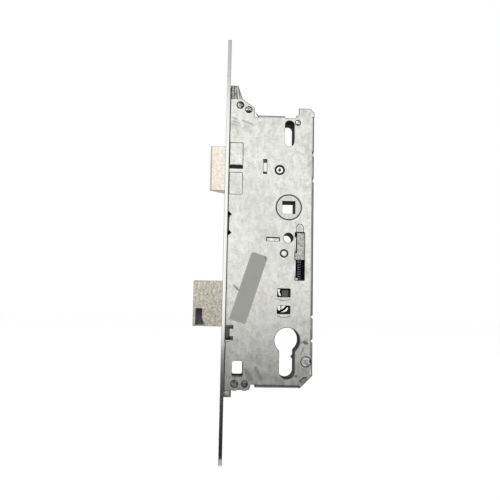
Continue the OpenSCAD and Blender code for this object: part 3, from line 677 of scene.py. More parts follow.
class Finishes:
    """Every finish of the lock, made once."""

    def __init__(self) -> None:
        """Paints each finish."""
        self.sheet = GalvanisedSheet().paint()
        self.face = BrushedSteel().paint()
        self.film = LabelFilm().paint()
        self.cast()
        self.work()

    def cast(self) -> None:
        """Paints the plated and sintered finishes, painted shade included."""
        self.latch = PlatedCasting(
            "latch_plating", (0.98, 0.91, 0.8), (0.99, 0.87, 0.75), (0.86, 0.81, 0.73), 0.6, 0.32,
            # The latch's part inside the case, painted near black as shade.
            (ShadeBox((-42.4, -7.0, 26.9), (0.0, 7.0, 60.0), (0.05, 0.048, 0.056)),),
            contrast=1.3, pore_scale=760.0,
        ).paint()
        self.bolt = PlatedCasting(
            "bolt_plating", (0.725, 0.69, 0.595), (0.755, 0.675, 0.56), (0.54, 0.525, 0.49),
            0.8, 0.32,
            (
                # The bolt's pocket, painted near black, and its part inside the case, painted darker:
                # painted shade.
                ShadeBox((-63.2, -5.6, -82.6), (-55.0, 3.0, -69.0), (0.1, 0.1, 0.105)),
                ShadeBox((-43.5, -7.0, -90.0), (0.0, 7.0, -40.0), (0.26, 0.26, 0.26), matt=False),
            ),
            contrast=2.2, pore_scale=700.0,
        ).paint()
        self.zinc = PlatedCasting(
            "zinc_casting", (0.8, 0.8, 0.77), (0.78, 0.77, 0.73), (0.6, 0.6, 0.58), 0.5, 0.3,
            # The follower's square hole, painted near black as shade.
            (ShadeBox((-4.6, -7.7, -4.6), (4.6, 7.7, 4.6), (0.03, 0.03, 0.036)),),
            contrast=0.4,
        ).paint()
        self.slider = PlatedCasting(
            "sintered_slider", (0.64, 0.63, 0.6), (0.68, 0.665, 0.63), (0.36, 0.36, 0.35),
            0.9, 0.36, contrast=3.2, pore_scale=1100.0,
        ).paint()

    def work(self) -> None:
        """Paints the worked and bare steels, and the dark finishes that stand as painted shade."""
        # The tenon's ends in the slot, painted dark as the shade of the gaps there.
        tenon_shade_boxes = (
            ShadeBox((-30.0, -9.0, 31.2), (0.0, 9.0, 36.0), (0.09, 0.09, 0.095)),
            ShadeBox((-30.0, -9.0, 20.0), (0.0, 9.0, 25.0), (0.11, 0.11, 0.11)),
        )
        # The screw head, painted darker on its lower side with a dark spot on its right: painted
        # shade.
        screw_shade_boxes = (
            ShadeBox((13.2, -9.0, -109.6), (16.3, -7.0, -107.4), (0.4, 0.4, 0.39)),
            ShadeBox((15.2, -9.0, -106.6), (16.3, -7.0, -104.6), (0.08, 0.08, 0.08)),
        )
        steels = (
            ("block", "raw_casting", (0.31, 0.31, 0.3), 0.3,
             {"scale": 1100.0, "pits": 0.7, "metal": 0.65, "pit_tone": (0.05, 0.05, 0.05)}),
            ("steel", "bright_steel", (0.72, 0.72, 0.7), 0.22, {}),
            ("tenon", "tenon_steel", (0.94, 0.94, 0.92), 0.22, {"shade_boxes": tenon_shade_boxes}),
            ("crown", "rivet_crown", (0.95, 0.95, 0.93), 0.2,
             {"scale": 900.0, "pits": 0.3, "metal": 0.6}),
            ("worn", "worn_rivet", (0.42, 0.42, 0.41), 0.42, {"scale": 900.0, "pits": 0.75}),
            ("mashed", "mashed_steel", (0.78, 0.78, 0.77), 0.2, {"scale": 900.0, "pits": 0.97}),
            ("screw", "screw_steel", (0.82, 0.82, 0.8), 0.24,
             {"scale": 1500.0, "pits": 0.3, "metal": 0.6, "shade_boxes": screw_shade_boxes}),
            # Dark tones for the parts inside the case, for the rings and sleeves and for the bevels
            # of edges: painted shade.
            ("dull", "dull_steel", (0.26, 0.26, 0.26), 0.34, {}),
            ("lever", "blued_steel", (0.03, 0.03, 0.034), 0.5, {"metal": 0.0}),
            ("dark", "dark_rim", (0.016, 0.016, 0.018), 0.6, {"metal": 0.0}),
            ("edge", "sheared_edge", (0.06, 0.06, 0.06), 0.5, {"metal": 0.0}),
            ("soft_edge", "ground_edge", (0.34, 0.33, 0.31), 0.3, {}),
            # Darker greys on the pressed arcs and dimples: painted shade of the pressings.
            ("pressed", "pressed_sheet", (0.47, 0.47, 0.45), 0.32, {}),
            ("dimpled", "dimpled_sheet", (0.36, 0.36, 0.35), 0.36, {"scale": 1200.0, "pits": 0.3}),
            ("bright", "bright_lip", (0.98, 0.98, 0.97), 0.14, {}),
            ("rib", "cast_rib", (0.62, 0.62, 0.6), 0.3, {"scale": 1000.0, "pits": 0.4}),
            ("lug", "grey_lug", (0.15, 0.155, 0.16), 0.36, {"scale": 1200.0}),
            ("wire", "spring_wire", (0.22, 0.235, 0.29), 0.2, {"scale": 5200.0}),
        )
        for key, name, tone, gloss, more in steels:
            setattr(self, key, WorkedSteel(name, tone, gloss, **more).paint())


# ------------------------------------------------------------------------------- bench tools


def let_go() -> None:
    """Deselects every object."""
    for thing in bpy.context.view_layer.objects:
        thing.select_set(False)


def take(piece: bpy.types.Object) -> None:
    """Makes a piece the active one, and the only one selected.

    Args:
        piece: The piece to take.
    """
    let_go()
    piece.select_set(True)
    bpy.context.view_layer.objects.active = piece


def take_mesh() -> None:
    """Selects the whole mesh in edit mode."""
    bpy.ops.mesh.select_all(action="SELECT")


@contextmanager
def editing(piece: bpy.types.Object) -> Iterator[None]:
    """Works on one piece in edit mode, with its whole mesh selected at first.

    Args:
        piece: The piece to edit.

    Yields:
        Nothing.
    """
    take(piece)
    bpy.ops.object.mode_set(mode="EDIT")
    bpy.ops.mesh.select_mode(type="VERT")
    take_mesh()
    yield
    bpy.ops.object.mode_set(mode="OBJECT")


def pick(piece: bpy.types.Object, test: Callable[[Vector, Vector], bool]) -> None:
    """Selects some faces of the piece in edit mode, and nothing else.

    Args:
        piece: The piece in edit mode.
        test: Says from a face's centre and normal whether to select it.
    """
    bpy.ops.mesh.select_mode(type="FACE")
    mesh = bmesh.from_edit_mesh(piece.data)
    for item in (*mesh.verts, *mesh.edges, *mesh.faces):
        item.select_set(False)
    for face in mesh.faces:
        face.select_set(test(face.calc_center_median(), face.normal))
    mesh.select_flush_mode()
    bmesh.update_edit_mesh(piece.data)


def settle(piece: bpy.types.Object, smooth_deg: float) -> bpy.types.Object:
    """Applies modifiers and place, so that the piece sits at the origin with smooth curves.

    Args:
        piece: The finished piece.
        smooth_deg: The angle up to which its edges are smooth.

    Returns:
        The piece.
    """
    take(piece)
    for modifier in list(piece.modifiers):
        bpy.ops.object.modifier_apply(modifier=modifier.name)
    bpy.ops.object.transform_apply(location=True, rotation=True, scale=True)
    bpy.ops.object.shade_smooth_by_angle(angle=math.radians(smooth_deg))
    return piece


def dress(
    piece: bpy.types.Object, name: str, finish: bpy.types.Material, slot: Slot, body: str
) -> None:
    """Names a new piece, gives it its finish and puts it on its body.

    Args:
        piece: The finished piece.
        name: Its name.
        finish: Its material.
        slot: The record's slot for its finish; not used.
        body: The body that it rides on.
    """
    piece.name = name
    piece.data.name = name
    if not piece.data.materials:
        piece.data.materials.append(finish)
    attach(piece, body)
    LOG.info("%s: %d faces on %s", name, len(piece.data.polygons), body)


def twin(piece: bpy.types.Object) -> bpy.types.Object:
    """Copies a settled piece, with its own mesh, to the other side of the case.

    Args:
        piece: The front's piece.

    Returns:
        The back's piece.
    """
    take(piece)
    bpy.ops.object.duplicate(linked=False)
    other = bpy.context.object
    other.scale = (1.0, -1.0, 1.0)
    bpy.ops.object.transform_apply(location=False, rotation=False, scale=True)
    with editing(other):
        bpy.ops.mesh.normals_make_consistent(inside=False)
    return other


def dress_both(
    piece: bpy.types.Object, name: str, finish: bpy.types.Material, slot: Slot, body: str
) -> None:
    """Dresses a settled piece of the front, and a copy of it on the back.

    Args:
        piece: The front's piece.
        name: What both names start with.
        finish: Their material.
        slot: The record's slot for their finish.
        body: The body that they ride on.
    """
    for end, side in ((piece, "front"), (twin(piece), "back")):
        dress(end, f"{name}_{side}", finish, slot, body)


def traced(steps: Sequence[Vector], at: Vector) -> bpy.types.Object:
    """Draws a chain of edges through points, by extruding one vertex.

    Args:
        steps: The points, measured from the start.
        at: The start, where the object's centre is.

    Returns:
        The chain.
    """
    let_go()
    bpy.ops.mesh.primitive_plane_add(size=SEED, location=at)
    piece = bpy.context.object
    with editing(piece):
        bpy.ops.mesh.merge(type="CENTER")
        bpy.ops.transform.translate(value=steps[0])
        for here, there in zip(steps, steps[1:]):
            bpy.ops.mesh.extrude_vertices_move(TRANSFORM_OT_translate={"value": there - here})
    return piece


def cap_ends() -> None:
    """Closes open ends with faces and turns every face outwards, in edit mode."""
    bpy.ops.mesh.select_all(action="DESELECT")
    bpy.ops.mesh.select_mode(type="EDGE")
    bpy.ops.mesh.select_non_manifold()
    bpy.ops.mesh.edge_face_add()
    take_mesh()
    bpy.ops.mesh.normals_make_consistent(inside=False)


def turned(
    profile: Sequence[Point], at: Point, steps: int, sweep_deg: float = 360.0
) -> bpy.types.Object:
    """Turns a profile about an axis along Y on the front of the case, as on a lathe.

    Args:
        profile: Radius and height points in millimetres, outwards and back.
        at: The axis, as x and z in millimetres.
        steps: The number of steps in a turn.
        sweep_deg: How far it turns; a part turn is centred below the axis.

    Returns:
        The turned piece, not yet settled.
    """
    centre = Vector((at[0] * MM, FRONT, at[1] * MM))
    lead = math.radians((360.0 - sweep_deg) / 2)
    out = Vector((-math.sin(lead), 0.0, math.cos(lead)))
    lift = Vector((0.0, -MM, 0.0))
    piece = traced([out * r * MM + lift * h for r, h in profile], centre)
    with editing(piece):
        turn = math.radians(sweep_deg)
        bpy.ops.mesh.spin(steps=steps, angle=turn, center=centre, axis=(0.0, 1.0, 0.0))
        take_mesh()
        bpy.ops.mesh.remove_doubles(threshold=TOUCHING)
        bpy.ops.mesh.normals_make_consistent(inside=False)
        if sweep_deg < 360.0:
            cap_ends()
    return piece


def sheet_piece(points: Sequence[Point], y: Point, ease: float) -> bpy.types.Object:
    """Cuts a flat piece to an outline and eases its edges.

    Args:
        points: The outline as x and z in millimetres.
        y: The y of its front and back faces in millimetres.
        ease: The width of the bevel on its edges in millimetres.

    Returns:
        The piece, not yet settled.
    """
    piece = traced([Vector((x, y[0], z)) * MM for x, z in points], Vector((0.0, 0.0, 0.0)))
    with editing(piece):
        bpy.ops.mesh.edge_face_add()
        depth = (0.0, (y[1] - y[0]) * MM, 0.0)
        bpy.ops.mesh.extrude_region_move(TRANSFORM_OT_translate={"value": depth})
        take_mesh()
        bpy.ops.mesh.normals_make_consistent(inside=False)
        bpy.ops.mesh.bevel(offset=ease * MM, segments=2, affect="EDGES")
    return piece


# ------------------------------------------------------------------------------ sub-assemblies


@dataclass
class Softening:
    """A small round on the edges of a CAD solid, by modifiers that leave its mesh alone.

    The bevel draws mitres far out at the ends of folds. Where these matter, points that lie
    further off the solid's own faces than a share of the width are brought back onto them.
    """

    width: float
    folded: bool
    weld: float = 0.001 * MM
    flat_deg: float = 0.4
    segments: int = 2
    limit_deg: float = 32.0
    furthest_off: float = 0.35

    def on(self, node: bpy.types.Object, edge_slot: int) -> None:
        """Adds the modifiers to a node.

        Args:
            node: The CAD node.
            edge_slot: The material slot of its edges, or -1 for that of their faces.
        """
        node.modifiers.new("joined", "WELD").merge_threshold = self.weld
        flat = node.modifiers.new("flat_faces", "DECIMATE")
        flat.decimate_type = "DISSOLVE"
        flat.angle_limit = math.radians(self.flat_deg)
        edge = node.modifiers.new("soft_edges", "BEVEL")
        edge.width = self.width * MM
        edge.segments = self.segments
        edge.limit_method = "ANGLE"
        edge.angle_limit = math.radians(self.limit_deg)
        edge.use_clamp_overlap = False
        edge.material = edge_slot
        if self.folded:
            node.modifiers.new("short_mitres", "NODES").node_group = self.shortening(node)

    def shortening(self, node: bpy.types.Object) -> bpy.types.NodeTree:
        """Makes nodes that bring overlong mitres back onto the solid's faces.

        Args:
            node: The CAD node.

        Returns:
            The tree.
        """
        tree = bpy.data.node_groups.new("short_mitres", "GeometryNodeTree")
        for way in ("INPUT", "OUTPUT"):
            tree.interface.new_socket("Geometry", in_out=way, socket_type="NodeSocketGeometry")
        entry, leave, solid, nearest, off, put = (
            tree.nodes.new(kind)
            for kind in (
                "NodeGroupInput",
                "NodeGroupOutput",
                "GeometryNodeObjectInfo",
                "GeometryNodeProximity",
                "ShaderNodeMath",
                "GeometryNodeSetPosition",
            )
        )
        faces = bpy.data.objects.new(node.name + "_faces", node.data.copy())
        solid.inputs["Object"].default_value = faces
        nearest.target_element = "FACES"
        off.operation = "GREATER_THAN"
        off.inputs[1].default_value = self.furthest_off * self.width * MM
        for start, end in (
            (solid.outputs["Geometry"], nearest.inputs[0]),
            (nearest.outputs["Distance"], off.inputs[0]),
            (entry.outputs[0], put.inputs["Geometry"]),
            (off.outputs[0], put.inputs["Selection"]),
            (nearest.outputs["Position"], put.inputs["Position"]),
            (put.outputs[0], leave.inputs[0]),
        ):
            tree.links.new(start, end)
        return tree


@dataclass
class CadDress:
    """The finish and the softened edges of each solid that stays."""

    finishes: Finishes
    nodes: dict[str, bpy.types.Object]
    folded: str = "case_shell"

    def plan(self) -> dict[str, tuple[bpy.types.Material, bpy.types.Material | None, float]]:
        """Lists how each solid that stays is dressed.

        Returns:
            Each solid's finish, the finish of its edges and their width in millimetres.
        """
        f = self.finishes
        # The edge finishes darken each solid's bevels as painted shade; the screw sleeves and the
        # parts inside the case take dark finishes that are painted shade too.
        return {
            "case_shell": (f.sheet, f.edge, 0.2),
            "cover_plate": (f.sheet, f.edge, 0.2),
            "faceplate": (f.face, f.soft_edge, 0.25),
            "top_mounting_block": (f.block, None, 0.2),
            "bottom_mounting_block": (f.block, None, 0.2),
            "faceplate_screws": (f.screw, f.edge, 0.08),
            "latch_head": (f.latch, f.soft_edge, 0.25),
            "latch_tail": (f.dull, None, 0.1),
            "latch_pin": (f.steel, None, 0.1),
            "spring_abutment": (f.tenon, f.edge, 0.12),
            "follower": (f.zinc, f.edge, 0.15),
            "follower_stop": (f.crown, f.edge, 0.1),
            "return_slider": (f.slider, f.edge, 0.2),
            "change_lever": (f.lever, None, 0.12),
            "lever_rivet": (f.steel, None, 0.15),
            "bolt_head": (f.bolt, f.soft_edge, 0.25),
            "bolt_tail": (f.lever, None, 0.12),
            "bolt_rivets": (f.steel, None, 0.1),
            "bolt_guide_post": (f.steel, None, 0.1),
            "tumbler": (f.lever, None, 0.12),
            "tumbler_post": (f.steel, None, 0.1),
            "upper_screw_sleeve": (f.dark, None, 0.05),
            "lower_screw_sleeve": (f.dark, None, 0.05),
            "spacer_post": (f.steel, None, 0.08),
            "corner_rivet": (f.steel, None, 0.15),
            "cover_screw": (f.screw, f.edge, 0.08),
            "cover_screw_post": (f.dull, None, 0.08),
            "label": (f.film, None, 0.0),
        }

    def build(self) -> None:
        """Dresses the solids."""
        for name, (finish, edge, width) in self.plan().items():
            node = self.nodes[name]
            node.data.materials.clear()
            node.data.materials.append(finish)
            if edge:
                node.data.materials.append(edge)
            if width > 0.0:
                Softening(width, name == self.folded).on(node, 1 if edge else -1)
            LOG.info("%s: %s", name, finish.name)


@dataclass(frozen=True)
class CoilSpring:
    """A compression spring of round wire with a closed turn at each end."""

    node: str
    axis: str
    wire: float
    turns: int
    joint: str
    travel: float
    fixed_high: bool
    sides: int = 12
    steps: int = 36
    smooth_deg: float = 60.0
    touching: float = 0.01 * MM

    def helix(self, radius: float, start: float, pitch: float, turns: int) -> bpy.types.Object:
        """Winds some turns about Z.

        Args:
            radius: The radius of the wire's centreline.
            start: The height at which they start.
            pitch: The rise in one turn.
            turns: The number of turns.

        Returns:
            The turns, open at both ends.
        """
        let_go()
        bpy.ops.mesh.primitive_circle_add(
            vertices=self.sides, radius=self.wire / 2, rotation=(math.pi / 2, 0.0, 0.0)
        )
        piece = bpy.context.object
        bpy.ops.object.transform_apply(rotation=True)
        with editing(piece):
            bpy.ops.transform.translate(value=(radius, 0.0, start))
        screw = piece.modifiers.new("turns", "SCREW")
        screw.axis = "Z"
        screw.angle = math.tau
        screw.screw_offset = pitch
        screw.iterations = turns
        screw.steps = screw.render_steps = self.steps
        screw.use_merge_vertices = False
        bpy.ops.object.modifier_apply(modifier=screw.name)
        return piece

    def build(self, finishes: Finishes) -> None:
        """Winds the spring in the box of its solid.

        Args:
            finishes: The lock's finishes.
        """
        low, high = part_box(self.node)
        size, middle = high - low, (low + high) / 2
        along = "XYZ".index(self.axis)
        length = size[along]
        radius = (size[(along + 1) % 3] - self.wire) / 2
        active = self.turns - 2
        pitch = (length - 3 * self.wire) / active
        first, *others = (
            self.helix(radius, self.wire / 2, self.wire, 1),
            self.helix(radius, 1.5 * self.wire, pitch, active),
            self.helix(radius, length - 1.5 * self.wire, self.wire, 1),
        )
        take(first)
        for part in others:
            part.select_set(True)
        bpy.ops.object.join()
        with editing(first):
            bpy.ops.mesh.remove_doubles(threshold=self.touching)
            cap_ends()
        place, anchor = middle.copy(), middle.copy()
        place[along] = low[along]
        anchor[along] = high[along] if self.fixed_high else low[along]
        first.location = place
        if self.axis == "X":
            first.rotation_euler = (0.0, math.pi / 2, 0.0)
        settle(first, self.smooth_deg)
        dress(first, self.node + "_wire", finishes.wire, Slot.WIRE, "case")
        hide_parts(self.node)
        direction = [float(axis == self.axis) for axis in "XYZ"]
        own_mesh(first)


@dataclass(frozen=True)
class RivetEnd:
    """The upset end of a riveted stud, round in outline, with a crown in a ring of painted shade."""

    name: str
    at: Point
    diameter: float
    shade_seam: float
    proud: float
    rough: float
    finish: str = "mashed"
    lump: float = 0.7
    steps: int = 36
    smooth_deg: float = 60.0
    pressed_share: float = 0.98
    level_from: float = 0.3
    dark_from: float = 0.99

    def lip(self) -> float:
        """Returns the crown's radius in millimetres."""
        return self.diameter / 2 - self.shade_seam

    def profile(self) -> list[Point]:
        """Draws the section of the crown and of the shaded ring round it.

        Returns:
            Radius and height points in millimetres.
        """
        r, lip, h = self.diameter / 2, self.lip(), self.proud
        crown = ((0.0, 1.0), (0.3, 0.97), (0.6, 0.8), (0.85, 0.5), (0.96, 0.2))
        shade_seam = [(lip, 0.03), (lip + 0.45 * self.shade_seam, 0.03), (r - 0.08, 0.05), (r, 0.0)]
        return [(out * lip, up * h) for out, up in crown] + shade_seam + [(r, -0.15), (0.0, -0.15)]

    def press(self, piece: bpy.types.Object) -> None:
        """Roughens the crown, as a riveting tool leaves it.

        Args:
            piece: The turned end.
        """
        with editing(piece):
            lip, level = self.lip() * MM * self.pressed_share, self.level_from
            pick(piece, lambda c, n: math.hypot(c.x, c.z) < lip and abs(n.y) > level)
            bpy.ops.mesh.subdivide(number_cuts=1)
            bpy.ops.object.mode_set(mode="OBJECT")
            group = piece.vertex_groups.new(name="crown")
            group.add([v.index for v in piece.data.vertices if v.select], 1.0, "REPLACE")
            bpy.ops.object.mode_set(mode="EDIT")
        lump = bpy.data.textures.new(self.name, "CLOUDS")
        lump.noise_scale = self.lump * MM
        lump.noise_depth = 1
        push = piece.modifiers.new("lumps", "DISPLACE")
        push.texture = lump
        push.texture_coords = "GLOBAL"
        push.direction = "Y"
        push.vertex_group = "crown"
        push.strength = self.rough * MM
        push.mid_level = 0.5

    def build(self, finishes: Finishes) -> None:
        """Turns the end and puts a copy on the other side.

        Args:
            finishes: The lock's finishes.
        """
        finish = getattr(finishes, self.finish)
        piece = turned(self.profile(), self.at, self.steps)
        piece.data.materials.append(finish)
        # The ring round the crown takes the near-black finish: painted shade where the end meets the
        # plate.
        piece.data.materials.append(finishes.dark)
        with editing(piece):
            inner = self.lip() * MM * self.dark_from
            pick(piece, lambda c, n: math.hypot(c.x, c.z) > inner)
            piece.active_material_index = 1
            bpy.ops.object.material_slot_assign()
        if self.rough > 0.0:
            self.press(piece)
        settle(piece, self.smooth_deg)
        dress_both(piece, self.name, finish, Slot.STEEL, "case")


def ring_profile(low: float, high: float, proud: float, foot: float = -0.1) -> list[Point]:
    """Draws the section of a flat ring with eased edges, in millimetres.

    Args:
        low: The ring's inner radius.
        high: Its outer radius.
        proud: How far it stands off the plate.
        foot: How deep it is set.

    Returns:
        Radius and height points, outwards and back.
    """
    ease, edge = 0.3 * (high - low), 0.4 * proud
    face = [(low, edge), (low + ease, proud), (high - ease, proud), (high, edge)]
    return [(low, foot), *face, (high, foot), (low, foot)]


def arc_profile(radius: float, half: float = 0.32) -> list[Point]:
    """Returns the section of a low ridge, from its radius and half its width."""
    shape = ((-1.0, -0.05), (-0.4, 0.1), (0.4, 0.1), (1.0, -0.05), (-1.0, -0.05))
    return [(radius + out * half, up) for out, up in shape]


def dimple_profile(width: float) -> list[Point]:
    """Returns half the section of a dimple with a raised rim, from its width."""
    rim = ((0.75, 0.1), (0.9, 0.1), (1.0, -0.02), (1.0, -0.1))
    return [(out * width / 2, up) for out, up in ((0.0, 0.02), (0.55, 0.03), *rim, (0.0, -0.1))]


@dataclass(frozen=True)
class Cutting:
    """A small flat piece: its outline, its faces' y, its eased edges and its finish."""

    name: str
    outline: tuple[Point, ...]
    y: Point
    ease: float
    smooth_deg: float
    finish: str
    slot: Slot = Slot.SHEET
    body: str = "case"

    def build(self, finishes: Finishes) -> None:
        """Cuts the piece and dresses it."""
        piece = settle(sheet_piece(self.outline, self.y, self.ease), self.smooth_deg)
        dress(piece, self.name, getattr(finishes, self.finish), self.slot, self.body)


@dataclass(frozen=True)
class Turning:
    """A small turned piece on the front of the case, or on both sides of the follower.

    It can be sunk, pressed flatter and leant once it is turned.
    """

    name: str
    profile: Sequence[Point]
    at: Point
    steps: int
    smooth_deg: float
    finish: str
    slot: Slot = Slot.SHEET
    body: str = "case"
    sweep_deg: float = 360.0
    sunk: float = 0.0
    flat: float = 1.0
    lean_deg: float = 0.0

    def build(self, finishes: Finishes) -> None:
        """Turns the piece and dresses it.

        Args:
            finishes: The lock's finishes.
        """
        piece = turned(self.profile, self.at, self.steps, self.sweep_deg)
        piece.location.y += self.sunk * MM
        piece.scale = (1.0, 1.0, self.flat)
        piece.rotation_euler = (0.0, -math.radians(self.lean_deg), 0.0)
        settle(piece, self.smooth_deg)
        put = dress if self.body == "case" else dress_both
        put(piece, self.name, getattr(finishes, self.finish), self.slot, self.body)


@dataclass(frozen=True)
class Trim:
    """Every small piece that is made here: springs, stud ends, shade rings, marks, flaps and lips."""

    # Inner and outer radii and height of the rings painted near black round the collar, the post and
    # the screw: painted shade in their gaps.
    shade_rings: tuple[Corner, ...] = ((8.35, 8.9, 0.04), (2.3, 3.5, 0.05), (3.15, 3.75, 0.1))
    post_at: Point = (-6.7, 26.4)
    arc_radius: float = 8.8
    arc_sweep_deg: float = 62.0
    dimple_widths: Corner = (6.4, 4.0, 2.2)
    flap_y: Point = (-6.48, -6.3)
    lip_y: Point = (-7.98, -6.9)
    rib_y: Point = (-7.4, -6.8)

    def springs(self) -> tuple[CoilSpring, ...]:
        """Lists the coil springs, with the travel of the joint that works each.

        Returns:
            The springs.
        """
        return (
            CoilSpring("return_spring", "Z", 0.9 * MM, 9, "return_slide", 8.1 * MM, False),
            CoilSpring("latch_spring", "X", 0.7 * MM, 14, "latch_slide", 10.5 * MM, True),
            CoilSpring("tumbler_spring", "Z", 0.5 * MM, 8, "tumbler_lift", 1.48 * MM, True),
        )

    def ends(self) -> tuple[RivetEnd, ...]:
        """Lists the riveted studs.

        Returns:
            Their ends.
        """
        return (
            RivetEnd("ear_stud_end_a", (-35.3, 72.5), 5.6, 0.75, 0.3, 0.7),
            RivetEnd("ear_stud_end_b", (-29.2, 69.3), 5.2, 0.7, 0.3, 0.8),
            RivetEnd("foot_stud_end_a", (-35.5, -121.4), 5.2, 0.4, 0.14, 0.35, "worn"),
            RivetEnd("foot_stud_end_b", (-28.6, -121.4), 4.8, 0.4, 0.14, 0.35, "worn"),
            RivetEnd("corner_rivet_end", (5.8, 60.9), 4.3, 0.5, 0.6, 0.0, "steel"),
            RivetEnd("lever_rivet_end", (-2.9, -32.4), 6.0, 1.1, 0.12, 0.2, "crown"),
        )

    def rounds(self) -> tuple[Turning, ...]:
        """Lists the painted shade rings, and the tubular post's eyelet and pilot hole.

        Returns:
            The turned pieces.
        """
        eyelet = ((0.95, -0.5), (0.95, -0.05), (1.2, 0.06), (2.0, 0.06), (2.3, 0.0), (2.3, -0.5))
        pilot = ((0.0, 0.03), (0.8, 0.03), (1.08, -0.06), (1.08, -0.45), (0.0, -0.45))
        collar, gap, hole = (ring_profile(*ring) for ring in self.shade_rings)
        # The near-black finish of these rings and of the pilot hole is painted shade.
        post, steel, look = self.post_at, Slot.STEEL, (72, 50.0, "dark")
        return (
            Turning("collar_seam", collar, (0.0, 0.0), *look, Slot.ZINC, "follower"),
            Turning("post_seam", gap, post, *look, steel),
            Turning("post_eyelet", (*eyelet, (0.95, -0.5)), post, 48, 40.0, "bright", steel),
            Turning("post_pilot", pilot, post, 32, 40.0, "dark", steel),
            Turning("screw_seam", hole, (12.9, -106.1), *look, steel),
        )

    def marks(self) -> tuple[Turning, ...]:
        """Lists the arcs and dimples pressed into the visible plate.

        Returns:
            The turned pieces.
        """
        arc, sweep = arc_profile(self.arc_radius), self.arc_sweep_deg
        corner, rear, web = (dimple_profile(width) for width in self.dimple_widths)
        # The arcs and dimples take darker greys, painted shade of the pressings.
        arc_look, look = (24, 20.0, "pressed"), (32, 30.0, "dimpled")
        return (
            Turning("window_arc_high", arc, (-3.0, -56.1), *arc_look, sweep_deg=sweep),
            Turning("window_arc_low", arc, (-2.7, -67.6), *arc_look, sweep_deg=sweep),
            Turning("dimple_corner", corner, (11.4, -117.8), *look, flat=0.5, lean_deg=30.0),
            Turning("dimple_rear", rear, (12.6, -93.4), *look, flat=0.55, lean_deg=-15.0),
            Turning("dimple_web", web, (6.1, -115.9), *look),
        )

    def flaps(self) -> tuple[Cutting | Turning, ...]:
        """Lists what shows in the two windows, a nub, a bright strip and the lower block's boss.

        Returns:
            The pieces.
        """
        high = ((-7.1, -57.3), (-5.0, -57.1), (-5.6, -58.9), (-4.5, -61.4), (-5.1, -62.0))
        low = ((-7.1, -68.2), (-4.9, -68.2), (-4.7, -71.0), (-5.6, -72.0), (-6.7, -71.0))
        strip = ((-4.3, -69.0), (-3.2, -68.3), (-0.9, -68.2), (-2.2, -69.7), (-4.1, -71.3))
        corner = ((0.35, -69.3), (0.3, -71.0), (-0.4, -72.0), (-2.0, -72.8), (-4.3, -72.9))
        lug = ((-4.1, -57.9), (0.5, -57.9), (0.2, -62.3), (-3.6, -62.5))
        nub = ((3.9, -100.9), (2.9, -101.8), (2.3, -102.6), (3.3, -104.1), (3.9, -104.4))
        bright_strip = ((-42.3, -92.6), (-38.6, -92.5), (-38.9, -93.3), (-41.2, -93.7), (-42.3, -93.5))
        boss = ((0.0, 0.25), (0.5, 0.22), (0.9, 0.1), (1.3, 0.16), (1.6, 0.05), (1.6, -1.0))
        flap = (self.flap_y, 0.05, 20.0, "bright")
        return (
            Cutting("window_lip_high", (*high, (-6.2, -61.0)), *flap),
            Cutting("window_lip_low", low, *flap),
            Cutting("window_strip_low", strip, *flap),
            Cutting("window_corner_low", (*corner, (-2.2, -71.7)), *flap),
            Cutting(
                "lever_lug", lug, (-6.28, -6.15), 0.04, 20.0, "lug", Slot.STEEL, "change_lever"
            ),
            # The nub takes the near-black edge finish, painted shade; the bright strip under the side
            # gap stands for a highlight there, a painted highlight.
            Cutting("cylinder_nub", nub, (-7.9, -6.6), 0.15, 30.0, "edge"),
            Cutting("side_gap_burr", bright_strip, (-8.12, -7.8), 0.08, 30.0, "bright"),
            Turning(
                "foot_block_boss", (*boss, (0.0, -1.0)), (-40.4, -127.6), 24, 50.0, "screw",
                Slot.ZINC, sunk=1.55,
            ),
        )

    def lips(self) -> tuple[Cutting | Turning, ...]:
        """Lists the spring slot's lips and lug, and the ribbed face of the top block.

        Returns:
            The pieces.
        """
        high = ((4.3, -20.9), (5.35, -20.9), (5.35, -31.4), (4.3, -31.6))
        low = ((4.3, -36.8), (5.2, -36.8), (5.2, -51.1), (4.3, -51.1))
        lug = ((0.0, 0.0), (0.5, -0.05), (0.85, -0.25), (0.95, -0.6), (0.0, -0.6))
        face = ((-42.3, 72.2), (-42.3, 87.2), (-37.6, 87.1), (-36.2, 72.6))
        rib_a = ((-41.1, 74.8), (-41.0, 85.9), (-40.3, 85.9), (-39.9, 79.0), (-40.3, 75.0))
        rib_b = ((-38.9, 74.0), (-39.1, 85.6), (-38.4, 85.6), (-37.6, 74.2))
        lip = (self.lip_y, 0.12, 30.0, "sheet")
        rib = (self.rib_y, 0.15, 30.0, "rib", Slot.ZINC)
        return (
            Cutting("slot_lip_high", high, *lip),
            Cutting("slot_lip_low", low, *lip),
            Turning("spring_foot_lug", lug, (6.0, -50.1), 24, 50.0, "bright"),
            Cutting("ear_casting_face", face, (-6.9, -5.6), 0.25, 30.0, "block", Slot.ZINC),
            Cutting("ear_rib_a", rib_a, *rib),
            Cutting("ear_rib_b", rib_b, *rib),
        )

    def build(self, finishes: Finishes) -> None:
        """Makes the pieces, group by group.

        Args:
            finishes: The lock's finishes.
        """
        groups = (self.springs, self.ends, self.rounds, self.marks, self.flaps, self.lips)
        for group in groups:
            for piece in group():
                piece.build(finishes)


# -------------------------------------------------------------------------------------- studio


